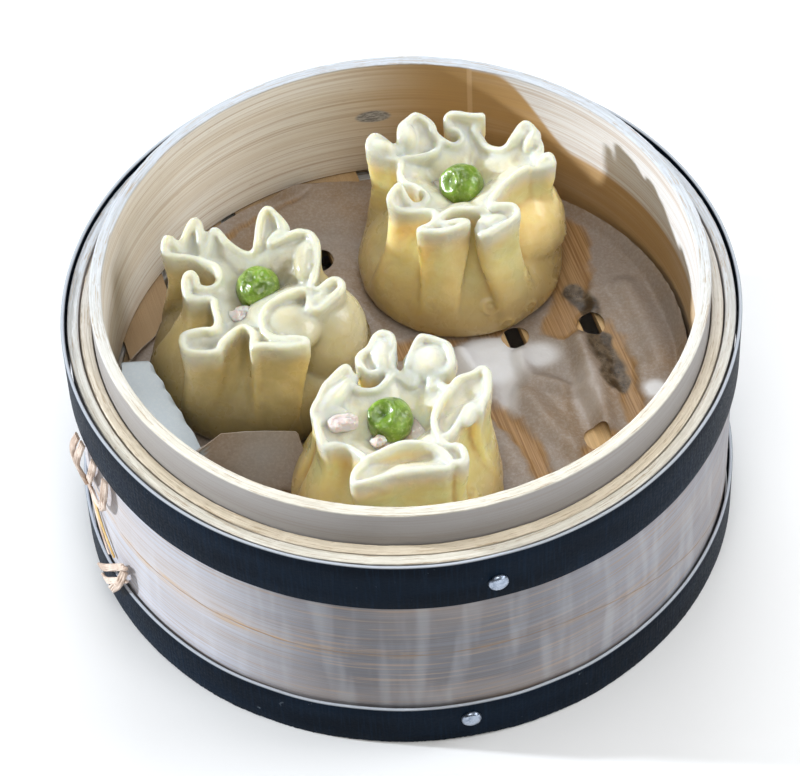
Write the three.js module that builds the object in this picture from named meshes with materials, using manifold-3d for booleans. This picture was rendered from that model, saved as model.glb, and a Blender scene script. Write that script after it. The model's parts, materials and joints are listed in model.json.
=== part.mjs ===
// Three siu mai dumplings on a paper liner in a round bamboo steamer basket.
// Millimetres, +Z up. The origin is the centre of the basket's foot, on the table.

import * as THREE from "three";
import { mergeVertices } from "three/addons/utils/BufferGeometryUtils.js";
import Module from "manifold-3d";

const wasm = await Module();
wasm.setup();

// ---------------------------------------------------------------- driving dimensions

const BASKET_RADIUS = 75; // over the black bands: a six inch steamer
const RING_SEGMENTS = 60;
const RING_PLAY = 0.25; // between one hoop and the next
const BAND_PLAY = 0.6; // the bands sit loosely round the wall
const FIT = 0.3; // between pieces that lie on each other

const BAND_THICKNESS = 0.8;
const WALL_THICKNESS = 2.5;
const FILLER_THICKNESS = 2.7;
const RIM_THICKNESS = 2.8;

const WALL_HEIGHT = 62.5; // foot to the ledge that the next tier stands on
const RIM_HEIGHT = 71.4; // foot to the top of the inner hoop
const NEST_DEPTH = 10; // recess under the tier, for the rim of the tier below
const SLAT_TOP = 37;
const SLAT_THICKNESS = 2.5;

const UPPER_BAND = { bottom: 48.8, top: 63 };
const LOWER_BAND = { bottom: 0.4, top: 12.4 };

const SLAT_TURN = -15; // degrees, the slats' lie against the Y axis
const SLAT_PITCH = 17.4;
const SLAT_WIDTH = 13.4;
const SLAT_COUNT = 7;
const SLAT_OFFSET = 1.2; // the middle slat's distance from the centre line
const CROSS_BAR = { width: 9, thickness: 3.2, spread: 25 };

const RIVET = { radius: 2.5, height: 1.1, segments: 10 };
const RIVET_PLACES = [
  { name: "rivet_upper_front", angle: -76.5, z: 54.4 },
  { name: "rivet_lower_front", angle: -81.5, z: 7.6 },
  { name: "rivet_upper_back", angle: 103.5, z: 54.4 },
  { name: "rivet_lower_back", angle: 98.5, z: 7.6 },
];

const WRAPPER_THICKNESS = 1.4;
const WRAPPER_LEVELS = [0, 0.05, 0.15, 0.34, 0.55, 0.78, 1]; // shares of the height
const PEA_RADIUS = 5.2;

const LINER_THICKNESS = 0.4;
const HOLE_RADIUS = 3.2;

// ---------------------------------------------------------------- radii and levels that follow

const WALL_OUTER = BASKET_RADIUS - BAND_THICKNESS - BAND_PLAY;
const WALL_INNER = WALL_OUTER - WALL_THICKNESS;
const FILLER_OUTER = WALL_INNER - RING_PLAY;
const FILLER_INNER = FILLER_OUTER - FILLER_THICKNESS;
const RIM_OUTER = FILLER_INNER - RING_PLAY;
const RIM_INNER = RIM_OUTER - RIM_THICKNESS;
const SLAT_BOTTOM = SLAT_TOP - SLAT_THICKNESS;
const LINER_LEVEL = SLAT_TOP + FIT + LINER_THICKNESS / 2;
const FOOD_BASE = SLAT_TOP + 1.5;

// ---------------------------------------------------------------- small helpers

const radians = THREE.MathUtils.degToRad;
const lerp = THREE.MathUtils.lerp;
const smoothstep = THREE.MathUtils.smoothstep;

function polar(radius, degrees, z = 0) {
  const angle = radians(degrees);
  return new THREE.Vector3(radius * Math.cos(angle), radius * Math.sin(angle), z);
}

/** Value at x on the straight lines between [x, value] pairs. */
function along(pairs, x) {
  if (x <= pairs[0][0]) return pairs[0][1];
  for (let i = 1; i < pairs.length; i += 1) {
    const [x0, y0] = pairs[i - 1];
    const [x1, y1] = pairs[i];
    if (x <= x1) return lerp(y0, y1, (x - x0) / (x1 - x0));
  }
  return pairs[pairs.length - 1][1];
}

function toManifold(geometry) {
  const bare = geometry.clone();
  bare.deleteAttribute("normal");
  bare.deleteAttribute("uv");
  const merged = mergeVertices(bare, 1e-4);
  const vertProperties = new Float32Array(merged.attributes.position.array);
  const triVerts = new Uint32Array(merged.index.array);
  return new wasm.Manifold(new wasm.Mesh({ numProp: 3, vertProperties, triVerts }));
}

function toGeometry(solid) {
  const mesh = solid.getMesh();
  const geometry = new THREE.BufferGeometry();
  geometry.setAttribute("position", new THREE.BufferAttribute(mesh.vertProperties, 3));
  geometry.setIndex(new THREE.BufferAttribute(mesh.triVerts, 1));
  geometry.computeVertexNormals();
  return geometry;
}

/** The first geometry with all the others cut out of it. */
function cut(geometry, tools) {
  let solid = toManifold(geometry);
  for (const tool of tools) {
    solid = solid.subtract(toManifold(tool));
  }
  return toGeometry(solid);
}

/** All the geometries as one solid. */
function join(geometries) {
  let solid = toManifold(geometries[0]);
  for (const geometry of geometries.slice(1)) {
    solid = solid.add(toManifold(geometry));
  }
  return toGeometry(solid);
}

/**
 * A closed surface through rows of points, with a fan on each end. The rows run
 * counter-clockwise seen from above. From row `turn` on, the surface comes back as
 * the second face of a sheet, so its squares are split along the other diagonal.
 */
function loft(rows, firstCentre, lastCentre, turn = rows.length) {
  const count = rows[0].length;
  const points = rows.flat().concat([firstCentre, lastCentre]);
  const first = points.length - 2;
  const last = points.length - 1;
  const index = [];
  const at = (row, column) => row * count + (column % count);
  for (let i = 0; i < count; i += 1) {
    index.push(first, at(0, i + 1), at(0, i));
    index.push(at(rows.length - 1, i), at(rows.length - 1, i + 1), last);
  }
  for (let row = 0; row < rows.length - 1; row += 1) {
    for (let i = 0; i < count; i += 1) {
      const [a, b] = [at(row, i), at(row, i + 1)];
      const [d, c] = [at(row + 1, i), at(row + 1, i + 1)];
      if (row < turn) {
        index.push(a, b, d, b, c, d);
      } else {
        index.push(a, b, c, a, c, d);
      }
    }
  }
  const geometry = new THREE.BufferGeometry().setFromPoints(points);
  geometry.setIndex(index);
  geometry.computeVertexNormals();
  return geometry;
}

// ---------------------------------------------------------------- materials

function finish(color, roughness, metalness = 0) {
  return new THREE.MeshStandardMaterial({ color, roughness, metalness });
}

const BAMBOO_PALE = finish(0xd9cdb4, 0.6);
const BAMBOO_TAN = finish(0xb98f5a, 0.65);
const RATTAN = finish(0xa37648, 0.7);
const BAND_BLACK = finish(0x1c2430, 0.4);
const STEEL = finish(0xb9c2cf, 0.3, 1);
const PAPER = finish(0xc3b8ae, 0.5);
const DOUGH = finish(0xe2d6ac, 0.35);
const PORK = finish(0xc9b7a6, 0.4);
const PEA_GREEN = finish(0x7fa63a, 0.3);

const part = new THREE.Group();

function add(name, geometry, material) {
  const mesh = new THREE.Mesh(geometry, material);
  mesh.name = name;
  part.add(mesh);
  return mesh;
}

// ---------------------------------------------------------------- basket

/** A hoop about the Z axis. */
function hoop(inner, outer, bottom, top) {
  const profile = [
    [inner, bottom],
    [outer, bottom],
    [outer, top],
    [inner, top],
    [inner, bottom],
  ].map(([r, z]) => new THREE.Vector2(r, z));
  return new THREE.LatheGeometry(profile, RING_SEGMENTS).rotateX(Math.PI / 2);
}

function addHoops() {
  add("outer_wall", hoop(WALL_INNER, WALL_OUTER, 0, WALL_HEIGHT), BAMBOO_PALE);
  add("filler_hoop", hoop(FILLER_INNER, FILLER_OUTER, NEST_DEPTH, WALL_HEIGHT - 0.3), BAMBOO_TAN);
  add("rim_hoop", hoop(RIM_INNER, RIM_OUTER, SLAT_TOP + FIT, RIM_HEIGHT), BAMBOO_PALE);
  add("slat_hoop", hoop(RIM_INNER, RIM_OUTER, NEST_DEPTH, SLAT_BOTTOM - FIT), BAMBOO_TAN);
  const bandInner = BASKET_RADIUS - BAND_THICKNESS;
  for (const [name, band] of [["upper_band", UPPER_BAND], ["lower_band", LOWER_BAND]]) {
    add(name, hoop(bandInner, BASKET_RADIUS, band.bottom, band.top), BAND_BLACK);
  }
}

/** A flat strip along local Y from wall to wall: its ends follow the hoop round them. */
function wallToWallStrip(middle, width, radius, thickness) {
  const [left, right] = [middle - width / 2, middle + width / 2];
  const startAngle = Math.acos(right / radius);
  const endAngle = Math.acos(left / radius);
  const outline = new THREE.Shape();
  outline.absarc(0, 0, radius, startAngle, endAngle, false);
  outline.absarc(0, 0, radius, -endAngle, -startAngle, false);
  outline.closePath();
  return new THREE.ExtrudeGeometry(outline, { depth: thickness, bevelEnabled: false, curveSegments: 4 });
}

function addSlats() {
  const reach = RIM_OUTER - 0.2;
  for (let i = 0; i < SLAT_COUNT; i += 1) {
    const middle = SLAT_OFFSET + (i - (SLAT_COUNT - 1) / 2) * SLAT_PITCH;
    const slat = wallToWallStrip(middle, SLAT_WIDTH, reach, SLAT_THICKNESS);
    slat.rotateZ(radians(-SLAT_TURN));
    slat.translate(0, 0, SLAT_BOTTOM);
    add(`slat_${i + 1}`, slat, BAMBOO_TAN);
  }
  for (const side of [-1, 1]) {
    const middle = side * CROSS_BAR.spread;
    const bar = wallToWallStrip(middle, CROSS_BAR.width, RIM_INNER - FIT, CROSS_BAR.thickness);
    bar.rotateZ(radians(90 - SLAT_TURN));
    bar.translate(0, 0, SLAT_BOTTOM - FIT - CROSS_BAR.thickness);
    add(side < 0 ? "cross_bar_1" : "cross_bar_2", bar, BAMBOO_TAN);
  }
}

/** A domed rivet head whose flat side faces the band. */
function addRivets() {
  const { radius, height, segments } = RIVET;
  const profile = [
    [0, 0],
    [radius, 0],
    [radius * 0.88, height * 0.55],
    [radius * 0.5, height * 0.92],
    [0, height],
  ].map(([r, z]) => new THREE.Vector2(r, z));
  for (const { name, angle, z } of RIVET_PLACES) {
    const head = new THREE.LatheGeometry(profile, segments).rotateZ(-Math.PI / 2);
    const place = polar(BASKET_RADIUS + 0.12, angle, z);
    head.rotateZ(radians(angle)).translate(place.x, place.y, place.z);
    add(name, head, STEEL);
  }
}

// The rattan tie that stitches the wall's overlapping ends, on the left of the basket.
const TIE = { wall: WALL_OUTER + 0.15, strand: 1, strip: 1.8, stripThickness: 0.8 };

// Each strand as [angle, z, height off the wall]. The lower ones pass over the lower band.
const UPPER_STRANDS = [
  [[-162.6, 48.2, 0.9], [-164, 43, 2], [-164.3, 38, 2], [-162, 33, 0.8]],
  [[-160.6, 48.2, 0.5], [-161.4, 43, 1.9], [-162.6, 38, 1.8], [-162.8, 32.2, 0.3]],
  [[-156.2, 48, 0], [-157.4, 43, 0.5], [-159.4, 38, 0.5], [-161.8, 33, 0]],
  [[-152, 47.4, 0], [-152.4, 41, 0.8], [-154.6, 35, 0.8], [-160.8, 33.6, 0.3]],
];
const LOWER_STRANDS = [
  [[-157.6, 9.8, 1.8], [-154.2, 14.4, 1.7], [-151, 18.8, 0.9], [-148.6, 21.8, 0.2]],
  [[-156, 8.6, 1.8], [-153.4, 11.2, 2.2], [-151, 14.4, 1.7], [-148.6, 17.4, 0.5]],
  [[-153, 8.4, 1.8], [-151.6, 11, 2.1], [-149.6, 15.6, 1.5], [-148.8, 20, 0.3]],
];

/** A strip of split bamboo lying on the wall between two places. */
function wallStrip(from, to) {
  const steps = 5;
  const rows = [];
  const half = THREE.MathUtils.radToDeg(TIE.strip / 2 / TIE.wall);
  const outer = TIE.wall + TIE.stripThickness;
  for (let i = 0; i <= steps; i += 1) {
    const angle = lerp(from.angle, to.angle, i / steps);
    const z = lerp(from.z, to.z, i / steps);
    rows.push([
      polar(TIE.wall, angle + half, z),
      polar(TIE.wall, angle - half, z),
      polar(outer, angle - half, z),
      polar(outer, angle + half, z),
    ]);
  }
  const middle = (row) => row.reduce((sum, p) => sum.add(p), new THREE.Vector3()).divideScalar(4);
  return loft(rows, middle(rows[0]), middle(rows[steps]));
}

/** A round strand through its places on the wall. */
function strand(places) {
  const curve = new THREE.CatmullRomCurve3(
    places.map(([angle, z, lift]) => polar(TIE.wall + TIE.strand + lift, angle, z)),
  );
  const section = new THREE.Shape().absarc(0, 0, TIE.strand, 0, 2 * Math.PI, false);
  const options = { steps: 6, extrudePath: curve, bevelEnabled: false, curveSegments: 3 };
  return new THREE.ExtrudeGeometry(section, options);
}

function addTie() {
  add("tie_strip_1", wallStrip({ angle: -154.4, z: 16.4 }, { angle: -163.6, z: 27.5 }), BAMBOO_TAN);
  add("tie_strip_2", wallStrip({ angle: -157.2, z: 13.6 }, { angle: -164.2, z: 24.6 }), RATTAN);
  add("tie_knot_upper", join(UPPER_STRANDS.map(strand)), RATTAN);
  add("tie_knot_lower", join(LOWER_STRANDS.map(strand)), RATTAN);
}

// ---------------------------------------------------------------- dumplings

// Folds of each frilled wrapper, counter-clockwise: the angle a fold stands at, the width of
// its head, the radius it reaches and the radius of its neck, how far its edge stands above the
// wrapper's height, how far one corner is turned out, how square it is (0 to 1), and the radius
// and height of the valley after it.
const fold = (angle, width, reach, neck, lift, turn, square, valley, valleyLift) => ({
  angle, width, reach, neck, lift, turn, square, valley, valleyLift,
});

const DUMPLINGS = [
  {
    name: "back",
    base: [14.0, 31.8],
    top: [14.4, 32.0],
    radius: 24.4,
    height: 30.5,
    pea: [15.0, 32.2],
    folds: [
      fold(2, 5, 21.5, 14.5, 0, 0, 0.2, 13, -2),
      fold(33, 9, 21, 13, 1.5, 0, 0.2, 13.5, -3),
      fold(82, 10, 18.2, 11, 1, 0, 0.9, 12, -1),
      fold(121, 11, 19.5, 11.5, 1.5, 0, 0.2, 12.5, -2),
      fold(158, 7.5, 22, 14, 1.5, 0, 0.3, 8, -1.5),
      fold(206, 5, 18.5, 12, 0, 0, 0.4, 12, -1.5),
      fold(254, 12.5, 18.3, 12.5, -1, -3, 1, 13, -1),
      fold(300, 9.5, 19, 12.5, -1, 0, 0.5, 12, -1),
      fold(332, 4, 17.5, 13.5, -0.5, 0, 0.3, 12.5, -1),
    ],
  },
  {
    name: "left",
    base: [-32, 4],
    top: [-31.6, 4],
    radius: 25,
    height: 30,
    pea: [-31.3, 4.1],
    folds: [
      fold(-10, 7, 20, 14, -0.5, 0, 0.4, 12.5, -1.5),
      fold(39, 9, 17, 11.5, 1, 0, 0.6, 12.5, -1.5),
      fold(77, 7.5, 19, 12, 2, 0, 0.3, 12.5, -2),
      fold(109, 6, 18, 13, 0, 0, 0.3, 13, -1.5),
      fold(132, 6, 19.5, 13.5, 0, 0, 0.3, 13, -1.5),
      fold(154, 5, 23, 14, 0.5, 0, 0.3, 12, -1.5),
      fold(184, 5, 17.5, 13, 0.5, 0, 0.4, 10.5, -3),
      fold(230, 10.5, 21.3, 12, -3.5, 0, 0.6, 10.5, -2.5),
      fold(287, 13, 19.5, 13, -1.5, 0, 0.9, 7, -1.5),
    ],
  },
  {
    name: "front",
    base: [-2.7, -35],
    top: [-2.7, -35],
    radius: 22.7,
    height: 30,
    pea: [-3.5, -35.7],
    folds: [
      fold(-15, 4.5, 17.5, 12, 0, 0, 0.3, 12.5, -1),
      fold(18, 9, 21.3, 12.5, 1, 0, 0.5, 11.5, -1),
      fold(58, 11.5, 19.7, 11.5, 1, 0, 0.2, 11.5, -2),
      fold(94, 6.2, 20, 12, 1, 0, 0.3, 12, -1),
      fold(147, 14, 18.5, 13, 0, 0, 0.5, 13, -1),
      fold(202, 5, 19.5, 13, -1.5, 0, 0.3, 11.5, -1),
      fold(274, 20, 18.5, 12.5, -1, -3, 0.9, 11.5, -1),
    ],
  },
];

// Outer radius of the body, as a share of its widest, at shares of the height.
const BODY_OUTLINE = [[0, 0.9], [0.05, 0.97], [0.14, 1], [0.28, 0.985], [0.45, 0.94], [0.7, 0.86], [1, 0.8]];

/** Half of a head's width, in degrees, where neighbouring heads are told apart. */
const halfHead = (width, radius = 20) => THREE.MathUtils.radToDeg(width / 2 / radius);

/**
 * Eight points for each fold: the valley before it, then neck, side, corner, middle, corner,
 * side and neck. Each gives its place on the frill, its angle on the round base and the lift
 * of its edge.
 */
function foldPoints(dumpling) {
  const { folds, radius } = dumpling;
  const points = [];
  folds.forEach((current, k) => {
    const before = folds[(k + folds.length - 1) % folds.length];
    const after = folds[(k + 1) % folds.length];
    const beforeAngle = before.angle - (k === 0 ? 360 : 0);
    const afterAngle = after.angle + (k === folds.length - 1 ? 360 : 0);
    const half = halfHead(current.width);
    const valleyBefore = (beforeAngle + halfHead(before.width) + current.angle - half) / 2;
    const valleyAfter = (current.angle + half + afterAngle - halfHead(after.width)) / 2;

    const out = polar(1, current.angle);
    const across = polar(1, current.angle + 90);
    const place = (sideways, reach) => out.clone().multiplyScalar(reach).addScaledVector(across, sideways);
    const neckHalf = current.width < 14 ? Math.min(current.width * 0.3, 2.4) : current.width * 0.36;
    const cornerHalf = (current.width / 2) * (0.62 + 0.33 * current.square);
    const corner = current.reach - 0.9 * (1 - current.square) - 0.3;
    const crown = current.reach + 0.3 * (1 - current.square);

    const put = (where, angle, lift) => points.push({ where, angle: radians(angle), lift });
    put(polar(before.valley, valleyBefore), valleyBefore, before.valleyLift);
    const stations = [];
    for (const side of [-1, 1]) {
      const turned = (side * current.turn) / 2;
      const room = side < 0 ? current.angle - valleyBefore : valleyAfter - current.angle;
      const spread = Math.min(0.62 * room, halfHead(current.width, radius));
      const sideReach = current.neck + 0.52 * (current.reach + turned - current.neck);
      const neckAngle = spread + 0.35 * (room - spread);
      const trio = [
        [place(side * neckHalf, current.neck), current.angle + side * neckAngle, current.lift - 1.2],
        [place(side * (current.width / 2), sideReach), current.angle + side * spread, current.lift - 0.4],
        [place(side * cornerHalf, corner + turned), current.angle + side * 0.6 * spread, current.lift],
      ];
      stations.push(side < 0 ? trio : trio.reverse());
    }
    stations[0].forEach((station) => put(...station));
    put(place(0, crown), current.angle, current.lift + 0.2);
    stations[1].forEach((station) => put(...station));
  });
  return points;
}

/** How much of the frill shows at a share of the height: none near the base, all at the edge. */
const frill = (share) => smoothstep(share, 0.1, 0.9);

/** The middle of the wrapper's wall at a share of its height, as points round the dumpling. */
function wallSection(dumpling, points, share) {
  const bodyRadius = dumpling.radius * along(BODY_OUTLINE, share) - WRAPPER_THICKNESS / 2;
  const [bx, by] = dumpling.base;
  const [tx, ty] = dumpling.top;
  const mix = frill(share);
  return points.map(({ where, angle, lift }) => new THREE.Vector3(
    lerp(bx + bodyRadius * Math.cos(angle), tx + where.x, mix),
    lerp(by + bodyRadius * Math.sin(angle), ty + where.y, mix),
    FOOD_BASE + share * (dumpling.height + lift),
  ));
}

/** The section moved sideways by a distance: outwards when it is positive. */
function offsetSection(section, distance) {
  const count = section.length;
  return section.map((point, i) => {
    const ahead = section[(i + 1) % count];
    const behind = section[(i + count - 1) % count];
    const outwards = new THREE.Vector3(ahead.y - behind.y, behind.x - ahead.x, 0).normalize();
    return point.clone().addScaledVector(outwards, distance);
  });
}

function wrapper(dumpling, points) {
  const half = WRAPPER_THICKNESS / 2;
  const sections = WRAPPER_LEVELS.map((share) => wallSection(dumpling, points, share));
  const outer = sections.map((section) => offsetSection(section, half));
  const inner = sections.slice(1).map((section) => offsetSection(section, -half)).reverse();
  const innerBottom = FOOD_BASE + WRAPPER_THICKNESS;
  inner[inner.length - 1].forEach((point) => point.setZ(innerBottom));
  const [bx, by] = dumpling.base;
  const underside = new THREE.Vector3(bx, by, FOOD_BASE);
  const inside = new THREE.Vector3(bx, by, innerBottom);
  return loft([...outer, ...inner], underside, inside, outer.length);
}

/** How far a ray from the centre runs before it meets the section. */
function rayReach(section, centre, angle) {
  const [dx, dy] = [Math.cos(angle), Math.sin(angle)];
  let reach = Infinity;
  section.forEach((a, i) => {
    const b = section[(i + 1) % section.length];
    const [ex, ey] = [b.x - a.x, b.y - a.y];
    const cross = dx * ey - dy * ex;
    if (Math.abs(cross) < 1e-9) return;
    const [ax, ay] = [a.x - centre[0], a.y - centre[1]];
    const distance = (ax * ey - ay * ex) / cross;
    const where = (ax * dy - ay * dx) / cross;
    if (distance > 0 && where >= 0 && where <= 1) reach = Math.min(reach, distance);
  });
  return reach;
}

const FILLING = {
  sides: 24,
  levels: [0.075, 0.15, 0.34, 0.55, 0.68, 0.74], // shares of the wrapper's height
  cap: 12.5, // widest radius among the folds
  crown: 1.8, // rise of the top above its edge
  lookAhead: [0, 0.06, 0.13], // shares above a level that it also stays clear of
  lookAside: [-0.14, -0.07, 0, 0.07, 0.14], // radians to either side of a ray
};

/** The pork inside a wrapper, up to its lumpy top, with a dent under the pea. */
function filling(dumpling, points) {
  const rows = FILLING.levels.map((share) => {
    const mix = frill(share);
    const centre = [
      lerp(dumpling.base[0], dumpling.top[0], mix),
      lerp(dumpling.base[1], dumpling.top[1], mix),
    ];
    const insides = FILLING.lookAhead.map((step) => {
      const section = wallSection(dumpling, points, Math.min(share + step, 1));
      return offsetSection(section, -WRAPPER_THICKNESS / 2);
    });
    const widest = lerp(dumpling.radius, FILLING.cap, mix);
    const row = [];
    for (let i = 0; i < FILLING.sides; i += 1) {
      const angle = (2 * Math.PI * i) / FILLING.sides;
      const near = FILLING.lookAside.flatMap((turn) => (
        insides.map((inside) => rayReach(inside, centre, angle + turn))
      ));
      const reach = Math.min(widest, ...near) - FIT;
      const z = FOOD_BASE + share * dumpling.height + (share < 0.1 ? 0 : 0.25 * Math.sin(3 * angle));
      row.push(new THREE.Vector3(
        centre[0] + reach * Math.cos(angle),
        centre[1] + reach * Math.sin(angle),
        z,
      ));
    }
    return row;
  });
  const [x, y] = dumpling.top;
  const edge = rows[rows.length - 1];
  const shoulder = edge.map((p, i) => new THREE.Vector3(
    lerp(x, p.x, 0.62),
    lerp(y, p.y, 0.62),
    p.z + FILLING.crown * 0.8 + 0.35 * Math.cos(5 * i),
  ));
  rows.push(shoulder);
  const [bx, by] = dumpling.base;
  const bottom = new THREE.Vector3(bx, by, FOOD_BASE + FILLING.levels[0] * dumpling.height);
  const crown = new THREE.Vector3(x, y, edge[0].z + FILLING.crown);
  const dent = new THREE.SphereGeometry(PEA_RADIUS + FIT, 12, 8);
  const peaAt = peaCentre(dumpling);
  dent.translate(peaAt.x, peaAt.y, peaAt.z);
  return cut(loft(rows, bottom, crown), [dent]);
}

function peaCentre(dumpling) {
  const [x, y] = dumpling.pea;
  return new THREE.Vector3(x, y, FOOD_BASE + 0.845 * dumpling.height);
}

/** A slightly wrinkled pea. */
function pea(dumpling, seed) {
  const ball = new THREE.SphereGeometry(PEA_RADIUS, 12, 8);
  const position = ball.attributes.position;
  for (let i = 0; i < position.count; i += 1) {
    const p = new THREE.Vector3().fromBufferAttribute(position, i).divideScalar(PEA_RADIUS);
    const wrinkle = Math.sin(3.1 * p.x + seed) * Math.sin(2.7 * p.y - seed) * Math.cos(2.3 * p.z);
    p.multiplyScalar(PEA_RADIUS * (1 - 0.03 * (1 + wrinkle)));
    position.setXYZ(i, p.x, p.y, p.z);
  }
  const centre = peaCentre(dumpling);
  return ball.translate(centre.x, centre.y, centre.z);
}

function addDumplings() {
  DUMPLINGS.forEach((dumpling, i) => {
    const points = foldPoints(dumpling);
    add(`wrapper_${dumpling.name}`, wrapper(dumpling, points), DOUGH);
    add(`filling_${dumpling.name}`, filling(dumpling, points), PORK);
    add(`pea_${dumpling.name}`, pea(dumpling, i), PEA_GREEN);
  });
}

// ---------------------------------------------------------------- paper liner

// The edge of the paper: [angle, radius, height above the slats], from the loose left side round
// the front, the right and the back. Its corners at the left and front stand up on their folds.
const LINER_EDGE = [
  [119, 63, 0.6], [125, 58.3, 0], [129, 55.6, 0], [150, 54.2, 0], [166, 58, 1], [176, 62.5, 3],
  [181, 62.5, 6],
  [185, 56.4, 17], [198, 55.5, 13.6], [211, 53, 9.5], [213.5, 49.6, 15], [222, 40.2, 15],
  [228, 36.4, 14.5], [232, 61, 1.5], [250, 63.2, 2], [290, 63.6, 2.4], [340, 64, 3],
  [390, 64, 3], [450, 64, 2], [474, 64, 1.4], [479, 63, 0.6],
];
const LINER_FOLD_START = 176;
const LINER_FOLD_END = 240;
const PERFORATION = { centre: [2.3, -4], rings: [[0, 1, 0], [26.7, 5, 29.3], [43.6, 8, 21]] };

/** The angles of the grid's spokes: close together where the paper is folded up. */
function linerAngles() {
  const angles = [];
  for (let angle = LINER_FOLD_START; angle < LINER_FOLD_END; angle += 4) angles.push(angle);
  const rest = LINER_FOLD_START + 360 - LINER_FOLD_END;
  const steps = 36;
  for (let i = 0; i < steps; i += 1) angles.push(LINER_FOLD_END + (rest * i) / steps);
  return angles;
}

/** Gentle waves of the damp paper, flattened under each dumpling. */
function linerWave(x, y) {
  const wave = 0.5 + 0.3 * Math.sin(0.16 * x + 0.09 * y) + 0.2 * Math.sin(0.11 * x - 0.21 * y + 1);
  const clear = Math.min(...DUMPLINGS.map(({ base, radius }) => (
    smoothstep(Math.hypot(x - base[0], y - base[1]) - radius, -2, 7)
  )));
  return 1.5 * wave * clear;
}

/** Middle of the paper on the spoke at an angle, at a share of the way to its edge. */
function linerPoint(angle, share) {
  const turn = angle < LINER_EDGE[0][0] ? angle + 360 : angle;
  const radius = along(LINER_EDGE.map(([a, r]) => [a, r]), turn);
  const rise = along(LINER_EDGE.map(([a, , z]) => [a, z]), turn);
  const foldRadius = Math.min(radius + 0.35 * rise, 61.5);
  const foldShare = 0.84;
  const flat = Math.min(share / foldShare, 1) * foldRadius;
  const up = Math.max((share - foldShare) / (1 - foldShare), 0);
  const p = polar(lerp(flat, radius, up), angle);
  const wave = linerWave(p.x, p.y) * (1 - up);
  return p.setZ(LINER_LEVEL + 0.05 + wave + rise * up);
}

function liner() {
  const angles = linerAngles();
  const shares = [0.2, 0.45, 0.66, 0.84, 0.92, 1];
  const small = 1e-3;
  const offset = (distance) => shares.map((share) => angles.map((angle) => {
    const p = linerPoint(angle, share);
    const ahead = linerPoint(angle, Math.max(share - small, 0)).sub(p).negate();
    const beside = linerPoint(angle + small, share).sub(p);
    const normal = ahead.cross(beside).normalize();
    return p.addScaledVector(normal, distance);
  }));
  const under = offset(-LINER_THICKNESS / 2);
  const over = offset(LINER_THICKNESS / 2).reverse();
  const middle = linerPoint(0, 0);
  const first = middle.clone().setZ(middle.z - LINER_THICKNESS / 2);
  const last = middle.clone().setZ(middle.z + LINER_THICKNESS / 2);
  const sheet = loft([...under, ...over], first, last, under.length);
  const punches = [];
  for (const [radius, count, phase] of PERFORATION.rings) {
    for (let i = 0; i < count; i += 1) {
      const punch = new THREE.CylinderGeometry(HOLE_RADIUS, HOLE_RADIUS, 6, 8).rotateX(Math.PI / 2);
      const at = polar(radius, phase + (360 * i) / count, LINER_LEVEL);
      const [cx, cy] = PERFORATION.centre;
      punches.push(punch.translate(cx + at.x, cy + at.y, at.z));
    }
  }
  return cut(sheet, punches);
}

addHoops();
addSlats();
addRivets();
addTie();
add("liner", liner(), PAPER);
addDumplings();

export default part;
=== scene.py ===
"""Looks for three siu mai dumplings on damp paper in a round bamboo steamer tier.

The file is laid out as an add-on and run as a script. Shapes are worked out in millimetres, in the
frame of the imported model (+Z up, origin at the centre of the foot), and built in metres.
"""

import json
import math

import bpy
import numpy as np
from bpy.props import FloatProperty, FloatVectorProperty, PointerProperty
from mathutils import Matrix, Vector, noise
from mathutils.geometry import delaunay_2d_cdt
from mathutils.kdtree import KDTree

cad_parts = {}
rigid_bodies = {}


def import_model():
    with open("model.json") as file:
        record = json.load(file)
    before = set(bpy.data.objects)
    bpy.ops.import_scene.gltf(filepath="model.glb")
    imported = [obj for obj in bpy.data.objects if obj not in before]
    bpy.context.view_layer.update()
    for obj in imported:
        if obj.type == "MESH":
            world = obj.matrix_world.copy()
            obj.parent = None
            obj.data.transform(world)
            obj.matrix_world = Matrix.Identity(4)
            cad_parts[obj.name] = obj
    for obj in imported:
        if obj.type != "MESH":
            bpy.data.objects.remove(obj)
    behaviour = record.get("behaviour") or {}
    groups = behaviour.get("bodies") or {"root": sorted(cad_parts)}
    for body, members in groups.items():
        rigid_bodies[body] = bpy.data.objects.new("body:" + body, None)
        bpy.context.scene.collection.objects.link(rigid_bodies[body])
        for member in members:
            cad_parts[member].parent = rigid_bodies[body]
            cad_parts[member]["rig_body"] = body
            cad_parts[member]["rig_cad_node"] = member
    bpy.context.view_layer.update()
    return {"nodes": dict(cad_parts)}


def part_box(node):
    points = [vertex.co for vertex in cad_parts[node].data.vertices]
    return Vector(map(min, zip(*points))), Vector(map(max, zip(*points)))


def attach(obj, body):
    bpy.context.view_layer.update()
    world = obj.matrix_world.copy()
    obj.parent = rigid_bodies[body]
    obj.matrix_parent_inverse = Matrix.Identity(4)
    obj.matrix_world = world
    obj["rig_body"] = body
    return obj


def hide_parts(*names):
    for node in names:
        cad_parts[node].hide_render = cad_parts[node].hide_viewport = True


bl_info = {
    "name": "Siu mai in a bamboo steamer",
    "version": (1, 0, 0),
    "blender": (4, 5, 0),
    "location": "3D View > Sidebar > Steamer",
    "description": "Makes the basket, the paper and the dumplings around the packed model",
    "category": "Object",
}

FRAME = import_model()
MM = 0.001


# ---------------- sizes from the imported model


def node_box(node):
    """Lowest and highest corner of a node, in millimetres."""
    low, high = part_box(node)
    return np.array(low) / MM, np.array(high) / MM


def hoop_size(node, thickness):
    """Inner radius, outer radius, bottom and top of a hoop, in millimetres."""
    low, high = node_box(node)
    outer = float(high[0])
    return outer - thickness, outer, float(low[2]), float(high[2])


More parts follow.
